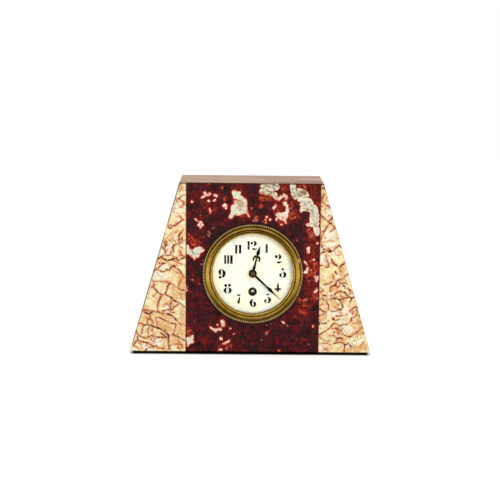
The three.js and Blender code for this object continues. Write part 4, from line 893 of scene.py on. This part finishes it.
# ---------------------------------------------------------------- shapes
# How many flat sides a round shape is made of.
TURNED_SIDES = 192
DIAL_SIDES = 128
HOLE_SIDES = 48
ROD_SIDES = 32
# How close two points are, in metres, when they are joined.
WELD = 0.00001
BEVEL_ANGLE = math.radians(35)
BEVEL_SEGMENTS = 2
STONE_BEVEL = 0.2
ENAMEL_BEVEL = 0.25
METAL_BEVEL = 0.08
BEZEL_BEVEL = 0.06
SIGHT_BEVEL = 0.05


def placed(name, data):
    """A new object in the scene that shows some data."""
    made = bpy.data.objects.new(name, data)
    bpy.context.scene.collection.objects.link(made)
    return made


def face_outwards(mesh, weld=0.0):
    """Turns a mesh's faces outwards, after joining the points that are closer than weld."""
    shape = bmesh.new()
    shape.from_mesh(mesh)
    if weld:
        bmesh.ops.remove_doubles(shape, verts=shape.verts, dist=weld)
    bmesh.ops.recalc_face_normals(shape, faces=shape.faces)
    shape.to_mesh(mesh)
    shape.free()


def shape_of(name, points, faces):
    """An object made of points in millimetres and of faces that look outwards."""
    mesh = bpy.data.meshes.new(name)
    mesh.from_pydata([tuple(Vector(p) * MM) for p in points], [], faces)
    mesh.validate()
    face_outwards(mesh)
    return placed(name, mesh)


def finish_piece(name, points, faces, look, body, slot, replaced=(), smooth=True):
    """A visible piece with its look, riding on a body, in place of the plainer nodes that it replaces."""
    piece = shape_of(name, points, faces)
    piece.data.materials.append(LOOKS[look])
    for polygon in piece.data.polygons:
        polygon.use_smooth = smooth
    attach(piece, body)
    if replaced:
        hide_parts(*replaced)
    return piece


def combine(piece, operation, points, faces):
    """Cuts a shape out of a piece (DIFFERENCE) or joins it on (UNION)."""
    tool = shape_of("tool", points, faces)
    modifier = piece.modifiers.new("combine", "BOOLEAN")
    modifier.operation = operation
    modifier.object = tool
    modifier.solver = "EXACT"
    bpy.context.view_layer.update()
    shaped = bpy.data.meshes.new_from_object(piece.evaluated_get(bpy.context.evaluated_depsgraph_get()))
    piece.modifiers.remove(modifier)
    piece.data = shaped
    bpy.data.objects.remove(tool)


def add_bevel(piece, width):
    """Softened edges wherever a piece turns sharply."""
    weld = piece.modifiers.new("weld", "WELD")
    weld.merge_threshold = WELD
    bevel = piece.modifiers.new("bevel", "BEVEL")
    bevel.width = width * MM
    bevel.segments = BEVEL_SEGMENTS
    bevel.limit_method = "ANGLE"
    bevel.angle_limit = BEVEL_ANGLE
    bevel.use_clamp_overlap = True
    for polygon in piece.data.polygons:
        polygon.use_smooth = True
    normals = piece.modifiers.new("normals", "WEIGHTED_NORMAL")
    normals.keep_sharp = True


def circle(steps):
    """The angles of some points round a circle."""
    return [2 * math.pi * n / steps for n in range(steps)]


def turned(profile, at=(DIAL_X, DIAL_HEIGHT), sides=TURNED_SIDES):
    """A closed outline of (radius, y) turned about the line through at = (x, z): its points and faces."""
    points, faces, rings = [], [], []
    for radius, y in profile:
        angles = circle(sides) if radius > 0 else [0]
        rings.append([len(points) + n % len(angles) for n in range(sides + 1)])
        points += [(at[0] + radius * math.sin(turn), y, at[1] + radius * math.cos(turn)) for turn in angles]
    for near, far in zip(rings, rings[1:] + rings[:1]):
        for n in range(sides):
            corners = list(dict.fromkeys((near[n], near[n + 1], far[n + 1], far[n])))
            if len(corners) > 2:
                faces.append(corners)
    return points, faces


def arc(centre, radius, start, end, steps):
    """Points of an arc in the (radius, y) plane; angles are in degrees, from outwards towards the rear."""
    angles = [math.radians(start + (end - start) * n / steps) for n in range(steps + 1)]
    return [(centre[0] + radius * math.cos(a), centre[1] + radius * math.sin(a)) for a in angles]


def rod(radius, z0, z1, place, sides=ROD_SIDES):
    """A round rod along z whose points go through place, a function of (x, y, z)."""
    points, faces = [], [list(range(sides)), list(range(2 * sides - 1, sides - 1, -1))]
    for z in (z0, z1):
        points += [place(radius * math.cos(turn), radius * math.sin(turn), z) for turn in circle(sides)]
    for n in range(sides):
        after = (n + 1) % sides
        faces.append([n, after, sides + after, sides + n])
    return points, faces


def block(x_range, y_range, z_range, place):
    """A box whose corners go through place."""
    points = [place(x, y, z) for x in x_range for y in y_range for z in z_range]
    faces = [[0, 1, 3, 2], [4, 6, 7, 5], [0, 4, 5, 1], [2, 3, 7, 6], [0, 2, 6, 4], [1, 5, 7, 3]]
    return points, faces


# ---------------------------------------------------------------- bezel and seat
HINGE_TILT = math.radians(18)
HINGE_RADIUS = 49.2
HINGE_Y = -47.4
KNUCKLE = 1.2
KNUCKLE_BORE = 0.65
KNUCKLE_HALF = 1.5
KNUCKLE_OUTER = 3.3
KNUCKLE_GAP = 0.15
RELIEF = 1.7
RELIEF_GAP = 0.02
RELIEF_PAST = 0.5
ARM_ACROSS = (0.3, 1.1)
ARM_DEPTH = (0.2, 2.2)
OVERRUN = 1


def at_bezel_hinge(x, y, z):
    """A place from the bezel hinge's own frame, whose z runs along the pin, to the part's frame."""
    out = x + HINGE_RADIUS
    return (
        DIAL_X + out * math.cos(HINGE_TILT) - z * math.sin(HINGE_TILT),
        y + HINGE_Y,
        DIAL_HEIGHT + out * math.sin(HINGE_TILT) + z * math.cos(HINGE_TILT),
    )


def turned_brass(node, profile, body, look="gilt_brass"):
    """A turned ring in place of a plainer one."""
    return finish_piece(f"{node}_turned", *turned(profile), look, body, "gilt_brass", [node])


def build_seat():
    """The flange and tube that hold the dial, with the two outer knuckles of the bezel's hinge."""
    profile = [
        (43.6, -42.6), (48.95, -42.6), *arc((49.5, -46.0), 0.55, 180, 330, 8),
        (50.0, -45.3), (51.2, -45.3), (51.4, -45.1), (51.4, -41),
        (45.6, -41), (45.6, -15), (42.4, -15), (42.4, -29), (43.6, -29),
    ]
    seat = turned_brass("seat_ring", profile, "case", "seat_brass")
    near = KNUCKLE_HALF + KNUCKLE_GAP
    for ends in ((-KNUCKLE_OUTER, -near), (near, KNUCKLE_OUTER)):
        combine(seat, "UNION", *block(ARM_ACROSS, ARM_DEPTH, ends, at_bezel_hinge))
        combine(seat, "UNION", *rod(KNUCKLE, *ends, at_bezel_hinge))
    far = KNUCKLE_OUTER + OVERRUN
    combine(seat, "DIFFERENCE", *rod(KNUCKLE_BORE, -far, far, at_bezel_hinge))
    add_bevel(seat, METAL_BEVEL)


BEADS = 140
BEAD_RING = 50.55
BEAD_Y = -45.7
BEAD_ALONG, BEAD_DEPTH, BEAD_OUT = 0.72, 1.0, 0.84
BEAD_ROWS, BEAD_COLUMNS = 6, 10


def build_beads():
    """The row of pearls round the seat, one small squashed ball after another."""
    points, faces = [], []
    for turn in circle(BEADS):
        first = len(points)
        for row in range(BEAD_ROWS + 1):
            tilt = math.pi * row / BEAD_ROWS
            for around in circle(BEAD_COLUMNS):
                side = BEAD_ALONG * math.sin(tilt) * math.cos(around)
                out = BEAD_RING + BEAD_OUT * math.sin(tilt) * math.sin(around)
                x = DIAL_X + out * math.sin(turn) + side * math.cos(turn)
                z = DIAL_HEIGHT + out * math.cos(turn) - side * math.sin(turn)
                points.append((x, BEAD_Y - BEAD_DEPTH * math.cos(tilt), z))
        for row in range(BEAD_ROWS):
            near = first + row * BEAD_COLUMNS
            far = near + BEAD_COLUMNS
            for column in range(BEAD_COLUMNS):
                after = (column + 1) % BEAD_COLUMNS
                faces.append([near + column, near + after, far + after, far + column])
    beads = finish_piece("seat_bead_row", points, faces, "bead_brass", "case", "gilt_brass")
    face_outwards(beads.data, WELD)


def build_bezel():
    """The opening ring with its two rounded steps, and the middle knuckle of its hinge."""
    profile = [
        (48.8, -43), (48.8, -46.9), (48.6, -47.3), (48.3, -47.6), (48.1, -47.6),
        *arc((46.6, -47.3), 2.2, -25, -150, 14),
        (44.5, -47.6), (44.3, -46.9), (44.1, -46.9),
        *arc((42.85, -46.5), 0.85, -15, -165, 8),
        (41.8, -46.2), (41.7, -45.9), (41.7, -44.7), (43.2, -44.7), (43.2, -43),
    ]
    ring = turned_brass("bezel_ring", profile, "bezel")
    near, far = KNUCKLE_HALF + RELIEF_GAP, KNUCKLE_OUTER + RELIEF_PAST
    for ends in ((-far, -near), (near, far)):
        combine(ring, "DIFFERENCE", *rod(RELIEF, *ends, at_bezel_hinge))
    combine(ring, "UNION", *rod(KNUCKLE, -KNUCKLE_HALF, KNUCKLE_HALF, at_bezel_hinge))
    past = KNUCKLE_HALF + OVERRUN
    combine(ring, "DIFFERENCE", *rod(KNUCKLE_BORE, -past, past, at_bezel_hinge))
    add_bevel(ring, BEZEL_BEVEL)


GLASS_RIM = 42.8
GLASS_RISE = 2.5
GLASS_THICK = 1.2
GLASS_FRONT = -44.4
GLASS_STEPS = 16


def build_glass():
    """The slightly domed glass."""
    shares = [n / GLASS_STEPS for n in range(GLASS_STEPS + 1)]
    dome = [(GLASS_RIM * share, GLASS_FRONT - GLASS_RISE * (1 - share**2)) for share in shares]
    profile = [*dome, *[(radius, y + GLASS_THICK) for radius, y in reversed(dome)]]
    finish_piece("glass_dome", *turned(profile), "glass", "bezel", "glass", ["glass"])


def build_sight():
    """The narrow ring that holds the glass from behind."""
    profile = [
        (40.9, -43.0), (41.0, -43.1), (42.1, -43.1), (42.2, -43.0), (42.2, -42.4),
        (41.9, -42.4), (41.9, -39.3), (41.8, -39.2), (41.0, -39.2), (40.9, -39.3),
    ]
    ring = turned_brass("sight_ring", profile, "bezel")
    add_bevel(ring, SIGHT_BEVEL)


# ---------------------------------------------------------------- dial and numerals
DIAL_FRONT = -38
DIAL_RADIUS = 43.1
DIAL_BACK = DIAL_FRONT + 1.4
WINDING_HOLE = 4.6
HAND_HOLE = 2.7
FLAG_START, FLAG_FALL, FLAG_END = 0.2, 0.7, 1.0
BOWL_STEPS = 12
BOWL_INSIDE = 0.97
BALL_STEPS = 14


def build_dial():
    """The enamelled disc, with holes for the hands and for the winding key."""
    profile = [(0, DIAL_FRONT), (DIAL_RADIUS, DIAL_FRONT), (DIAL_RADIUS, DIAL_BACK), (0, DIAL_BACK)]
    disc = turned(profile, sides=DIAL_SIDES)
    dial = finish_piece("dial_enamelled", *disc, "enamel", "case", "enamel", ["dial"])
    for radius, height in ((HAND_HOLE, DIAL_HEIGHT), (WINDING_HOLE, WINDING_CENTRE[1])):
        ends = (DIAL_FRONT - OVERRUN, DIAL_BACK + OVERRUN)
        hole = rod(radius, *ends, lambda x, y, z, up=height: (DIAL_X + x, z, up + y), HOLE_SIDES)
        combine(dial, "DIFFERENCE", *hole)
    add_bevel(dial, ENAMEL_BEVEL)


def bar(x, bottom, top, width, flag=0.0):
    """An upright stroke; flag is how far its top left corner points out."""
    half = width / 2
    outline = [(x - half, bottom), (x + half, bottom), (x + half, top)]
    if flag:
        outline.append((x - half + FLAG_START, top))
        outline += [(x - half - flag, top - FLAG_FALL), (x - half, top - FLAG_END)]
    else:
        outline.append((x - half, top))
    return outline


def crescent(x, z, width, height, thick, side):
    """The side of a bowl, thick in the middle and pointed at both ends; side is 1 for the right."""
    angles = [math.pi * (n / BOWL_STEPS - 0.5) for n in range(BOWL_STEPS + 1)]
    outline = [(x + side * width * math.cos(a), z + height * math.sin(a)) for a in angles]
    inner = width - thick
    tall = height * BOWL_INSIDE
    return outline + [(x + side * inner * math.cos(a), z + tall * math.sin(a)) for a in reversed(angles)]


def ball(x, z, radius, tall=1.0):
    """A round blob, squashed or stretched by tall."""
    return [(x + radius * math.cos(a), z + tall * radius * math.sin(a)) for a in circle(BALL_STEPS)]


# The strokes of each numeral, about its own middle, and where that middle is from the dial's centre.
GLYPHS = {
    1: [bar(0, -4.4, 4.4, 1.9, 0.4)],
    2: [
        ball(-2.1, 2.1, 1.5), crescent(-0.2, 2.0, 3.3, 2.6, 2.4, 1),
        [(-1.6, -4.4), (-0.9, -3.1), (0.4, -2.8), (1.6, -3.6), (3.0, -3.0), (3.6, -2.4), (3.0, -4.0),
         (1.2, -4.9), (-0.2, -4.8)],
    ],
    3: [
        ball(-0.3, 3.9, 1.25, 0.9), crescent(-0.7, -2.3, 3.1, 2.2, 1.9, -1),
        crescent(-0.5, -1.8, 3.9, 3.2, 2.6, 1),
    ],
    4: [
        [(-0.9, -4.4), (1.3, -4.4), (1.2, 1.6), (0.8, 4.3), (0.1, 4.3), (-0.5, 1.6)],
        [(-3.5, -2.2), (-2.4, -0.9), (0, -1.2), (2.4, -0.9), (3.5, -1.4), (3.4, -2.6), (0, -2.4),
         (-2.2, -2.6)],
    ],
    5: [
        ball(-0.3, 4.2, 1.5, 0.45), crescent(-0.7, -2.5, 3.2, 2.0, 1.9, -1),
        crescent(-0.7, -1.6, 3.9, 3.2, 2.5, 1),
    ],
    6: [crescent(0.4, -0.2, 3.6, 4.1, 2.5, -1), crescent(0.2, -1.7, 3.3, 3.0, 2.4, 1)],
    7: [
        [(-1.6, 3.2), (-1.4, 4.9), (1.6, 4.9), (1.4, 3.5)],
        [(-1.4, -4.5), (1.1, -4.5), (1.1, -2.0), (1.4, 2.0), (0.6, 2.3), (-0.7, -1.2)],
    ],
    8: [
        ball(-2.0, 3.0, 1.4), ball(1.9, 3.2, 1.4),
        crescent(-0.3, -2.2, 3.7, 3.0, 2.4, -1), crescent(0.3, -2.2, 3.7, 3.0, 2.4, 1),
    ],
    9: [
        crescent(-0.4, 1.6, 3.3, 3.0, 2.4, -1), crescent(-0.4, 0.0, 3.9, 4.2, 2.8, 1),
        ball(-2.0, -3.8, 1.3),
    ],
    10: [bar(-3.3, -4.4, 4.4, 1.7, 0.3), bar(-0.2, -4.4, 4.3, 1.8), bar(3.1, -4.4, 4.3, 2.4)],
    11: [bar(-2.0, -4.4, 4.4, 2.0, 0.3), bar(2.0, -4.4, 4.4, 2.2, 0.3)],
    12: [
        bar(-4.4, -4.3, 4.4, 1.9, 0.4), ball(-1.2, 2.4, 1.1, 1.2), crescent(0.4, 2.0, 3.5, 2.7, 2.4, 1),
        [(-0.8, -3.4), (0.3, -2.6), (1.6, -3.0), (2.6, -3.8), (4.2, -2.4), (3.4, -4.2), (2.0, -4.7),
         (0.4, -4.5)],
    ],
}
NUMERAL_CENTRES = {
    1: (14.1, 25.8), 2: (26.2, 15.3), 3: (31.3, 0.3), 4: (25.8, -14.8), 5: (16.0, -26.6), 6: (0.4, -31.0),
    7: (-14.2, -27.4), 8: (-25.8, -16.2), 9: (-31.6, -0.8), 10: (-25.2, 14.0), 11: (-15.2, 24.7),
    12: (-0.1, 28.8),
}
INK_SPREAD = 0.2
PAINT_THICK = 0.06


def plate_mesh(outlines, front, back):
    """Flat shapes, each an outline of (x, z), between two depths: their points and faces."""
    points, faces = [], []
    for outline in outlines:
        first, count = len(points), len(outline)
        points += [(x, front, z) for x, z in outline] + [(x, back, z) for x, z in outline]
        faces.append([first + n for n in range(count)])
        faces.append([first + count + n for n in reversed(range(count))])
        for n in range(count):
            after = (n + 1) % count
            faces.append([first + n, first + after, first + count + after, first + count + n])
    return points, faces


def widened(outline, spread):
    """An outline of (x, z) with every point pushed outwards by spread."""
    around = list(zip(outline[-1:] + outline[:-1], outline, outline[1:] + outline[:1]))
    area = sum(here[0] * after[1] - after[0] * here[1] for before, here, after in around)
    side = 1 if area > 0 else -1
    moved = []
    for before, here, after in around:
        out = Vector((0, 0))
        for start, end in ((before, here), (here, after)):
            along = Vector((end[0] - start[0], end[1] - start[1]))
            if along.length > 0:
                out += Vector((along.y, -along.x)).normalized() * side
        out = out.normalized() * spread if out.length > 0 else out
        moved.append((here[0] + out.x, here[1] + out.y))
    return moved


def build_numerals():
    """The twelve painted numerals, each a little proud of the enamel."""
    for hour, strokes in GLYPHS.items():
        x0, z0 = DIAL_X + NUMERAL_CENTRES[hour][0], DIAL_HEIGHT + NUMERAL_CENTRES[hour][1]
        outlines = [[(x0 + x, z0 + z) for x, z in widened(stroke, INK_SPREAD)] for stroke in strokes]
        figure = plate_mesh(outlines, DIAL_FRONT - PAINT_THICK, DIAL_FRONT + PAINT_THICK)
        finish_piece(f"numeral_{hour:02d}", *figure, "dial_paint", "case", "blued_steel", smooth=False)


# ---------------------------------------------------------------- hands
HAND_SPREAD = 0.14
MINUTE_HAND_TURN = 133.2
HOUR_HAND_TURN = 14.3
MINUTE_HUB, MINUTE_DEPTHS = (4.2, 1.55), (-41.5, -40.9)
HOUR_HUB, HOUR_DEPTHS = (3.8, 2.3), (-39.9, -39.2)
HORN_DEPTHS = (-39.86, -39.24)
CURVE_STEPS = 5


def smooth_outline(half):
    """An outline with two like sides, each a smooth curve through the points from the hub to the tip."""
    curve = []
    for n in range(len(half) - 1):
        corners = (half[max(n - 1, 0)], half[n], half[n + 1], half[min(n + 2, len(half) - 1)])
        for k in range(CURVE_STEPS):
            t = k / CURVE_STEPS
            # Twice the weights of a Catmull-Rom curve.
            weights = (-t + 2 * t**2 - t**3, 2 - 5 * t**2 + 3 * t**3, t + 4 * t**2 - 3 * t**3, t**3 - t**2)
            curve.append(tuple(sum(w * p[axis] for w, p in zip(weights, corners)) / 2 for axis in (0, 1)))
    curve.append(half[-1])
    curve = [(max(x, 0), z) for x, z in curve]
    return curve + [(-x, z) for x, z in reversed(curve) if x > 0]


def turned_by(points, degrees):
    """Points turned clockwise about the dial's centre, as a hand turns."""
    c, s = math.cos(math.radians(degrees)), math.sin(math.radians(degrees))
    return [(DIAL_X + x * c + z * s, y, DIAL_HEIGHT - x * s + z * c) for x, y, z in points]


def hand_shape(outline, depths, degrees):
    """A flat part of a hand, turned clockwise about the dial's centre from twelve: its points and faces."""
    points, faces = plate_mesh([widened(outline, HAND_SPREAD)], *depths)
    return turned_by(points, degrees), faces


def build_hand(node, blade, hub, depths, degrees, body):
    """A blued hand on the dial; hub is its outer and inner radius, and depths its front and back."""
    shape = hand_shape(blade, depths, degrees)
    hand = finish_piece(f"{node}_cut", *shape, "blued_steel", body, "blued_steel", [node])
    outer, inner = hub
    front, back = depths
    ring = [(inner, front), (outer, front), (outer, back), (inner, back)]
    points, faces = turned(ring, (0, 0), HOLE_SIDES)
    combine(hand, "UNION", turned_by(points, degrees), faces)
    add_bevel(hand, METAL_BEVEL)
    return hand


def build_hour_hand():
    """The short hand, with two horns under its spade-shaped tip."""
    blade = smooth_outline([
        (0.8, 3.0), (0.9, 4.0), (1.2, 5.0), (1.3, 6.0), (1.2, 7.0), (0.9, 8.5), (0.75, 11),
        (0.65, 14), (0.6, 19), (1.1, 20.2), (1.8, 21.8), (1.3, 23.6), (0.7, 26.0), (0, 29.5),
    ])
    horns = smooth_outline([
        (0.3, 16.9), (1.4, 16.9), (2.2, 16.2), (2.7, 15.0), (2.4, 13.3), (3.1, 13.1),
        (3.9, 14.8), (3.6, 17.0), (2.5, 18.4), (1.1, 19.0), (0, 19.1),
    ])
    hand = build_hand("hour_hand", blade, HOUR_HUB, HOUR_DEPTHS, HOUR_HAND_TURN, "hour_work")
    combine(hand, "UNION", *hand_shape(horns, HORN_DEPTHS, HOUR_HAND_TURN))


def build_minute_hand():
    """The long hand, with a small leaf two thirds of the way to its tip."""
    blade = smooth_outline([
        (1.0, 3.0), (0.95, 8), (0.8, 14), (0.65, 19), (0.9, 21.5), (1.6, 24.4), (1.0, 27.2), (0.55, 30),
        (0.3, 34), (0, 39.2),
    ])
    build_hand("minute_hand", blade, MINUTE_HUB, MINUTE_DEPTHS, MINUTE_HAND_TURN, "centre_arbor")


# ---------------------------------------------------------------- the plain nodes that stay
STONES = ("red_marble", "cream_marble", "top_marble")
NODE_LOOKS = {
    "front_wing_left": "cream_marble_left",
    "front_wing_right": "cream_marble_right",
    "front_plate": "shaded_plate",
    "centre_wheel": "oiled_wheel",
    "hand_collet": "old_brass",
    "cannon_pinion": "blued_steel",
    "winding_arbor": "winding_steel",
}


def dress_nodes():
    """Every node that still shows gets its look from its own material's slot, and soft edges."""
    for name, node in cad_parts.items():
        if node.hide_render:
            continue
        slot = node.material_slots[0].material.name.split(".")[0]
        node.material_slots[0].material = LOOKS[NODE_LOOKS.get(name, slot)]
        add_bevel(node, STONE_BEVEL if slot in STONES else METAL_BEVEL)


# ---------------------------------------------------------------- stage, light and camera
FLOOR_SIZE = 6
FLOOR_TONE = 0.48
FLOOR_GLOW = 0.72
FLOOR_LIGHT = (0.8, 0.8, 0.8, 1)
PAINTED_CONTACT_SHADOW = (0.02, 0.014, 0.01, 1)
FOOTPRINT_HALF = (121, 41, 0)
FOOTPRINT_ROUND = 6


def build_floor():
    """A white floor that lights as plain white, and looks brighter except close under the clock, where a
    dark contact shadow is painted into its colour.
    """
    bpy.ops.mesh.primitive_plane_add(size=FLOOR_SIZE)
    floor = bpy.context.object
    floor.name = "floor"
    s = Shader("floor")
    outside = s.vector("SUBTRACT", s.vector("ABSOLUTE", s.place), FOOTPRINT_HALF)
    outside = s.vector("LENGTH", s.vector("MULTIPLY", s.vector("MAXIMUM", outside, (0, 0, 0)), (1, 1, 0)))
    # Close under the clock the floor gets a painted contact shadow and no glow.
    clear_of_painted_shadow = s.rise(outside, 0, FOOTPRINT_ROUND)
    plain = s.shader("ShaderNodeBsdfDiffuse", Color=FLOOR_LIGHT)
    tone = s.mix(clear_of_painted_shadow, PAINTED_CONTACT_SHADOW, (FLOOR_TONE, FLOOR_TONE, FLOOR_TONE, 1))
    glow = s.shader("ShaderNodeEmission", Strength=s.times(clear_of_painted_shadow, FLOOR_GLOW))
    both = s.node("ShaderNodeAddShader", s.shader("ShaderNodeBsdfDiffuse", Color=tone), glow).outputs[0]
    s.fill(s.output, Surface=s.either(s.looked_at(), plain, both))
    floor.data.materials.append(s.material)


WORLD_LIGHT = 0.62
WORLD_SEEN = 1


def build_world():
    """An even white studio: white wherever it is looked at, and a soft light on the object."""
    world = bpy.data.worlds.new("studio")
    bpy.context.scene.world = world
    world.use_nodes = True
    n = Nodes(world.node_tree)
    n.tree.nodes.clear()
    light = n.shader("ShaderNodeBackground", Color=WHITE, Strength=WORLD_LIGHT)
    seen = n.shader("ShaderNodeBackground", Color=WHITE, Strength=WORLD_SEEN)
    n.node("ShaderNodeOutputWorld", n.either(n.looked_at(), light, seen))


LAMP_AT = (400, -1900, 700)
LAMP_SIZE = 1200
LAMP_POWER = 17.5


def build_lamp():
    """A square soft lamp in front, above and to the right, that faces the clock and leaves no highlight."""
    light = bpy.data.lights.new("key", "AREA")
    light.size = LAMP_SIZE * MM
    light.energy = LAMP_POWER
    lamp = placed("key", light)
    lamp.location = Vector(LAMP_AT) * MM
    lamp.visible_glossy = False
    towards = Vector((0, 0, DIAL_HEIGHT * MM)) - lamp.location
    lamp.rotation_euler = towards.to_track_quat("-Z", "Y").to_euler()


CAMERA_AT = (-14.7, -1490.5, 330.2)
CAMERA_DOWN = 0.1511
CAMERA_ASIDE = 0.0094
CAMERA_ROLL = 0.0099
CAMERA_LENS = 102.6
CAMERA_SENSOR = 36
CAMERA_CLIP = (0.1, 20)


def build_camera():
    """A long lens a metre and a half away, a little to the left and looking slightly down."""
    camera = bpy.data.cameras.new("camera")
    camera.lens = CAMERA_LENS
    camera.sensor_width = CAMERA_SENSOR
    camera.clip_start, camera.clip_end = CAMERA_CLIP
    holder = placed("camera", camera)
    forward = Vector((
        math.sin(CAMERA_ASIDE) * math.cos(CAMERA_DOWN),
        math.cos(CAMERA_ASIDE) * math.cos(CAMERA_DOWN),
        -math.sin(CAMERA_DOWN),
    ))
    level = Vector((math.cos(CAMERA_ASIDE), -math.sin(CAMERA_ASIDE), 0))
    over = level.cross(forward)
    right = level * math.cos(CAMERA_ROLL) + over * math.sin(CAMERA_ROLL)
    up = over * math.cos(CAMERA_ROLL) - level * math.sin(CAMERA_ROLL)
    facing = Matrix((right, up, -forward)).transposed().to_4x4()
    holder.matrix_world = Matrix.Translation(Vector(CAMERA_AT) * MM) @ facing
    bpy.context.scene.camera = holder


build_seat()
build_beads()
build_bezel()
build_glass()
build_sight()
build_dial()
build_numerals()
build_hour_hand()
build_minute_hand()
dress_nodes()

build_floor()
build_world()
build_lamp()
build_camera()
bpy.context.scene.view_settings.view_transform = "Standard"
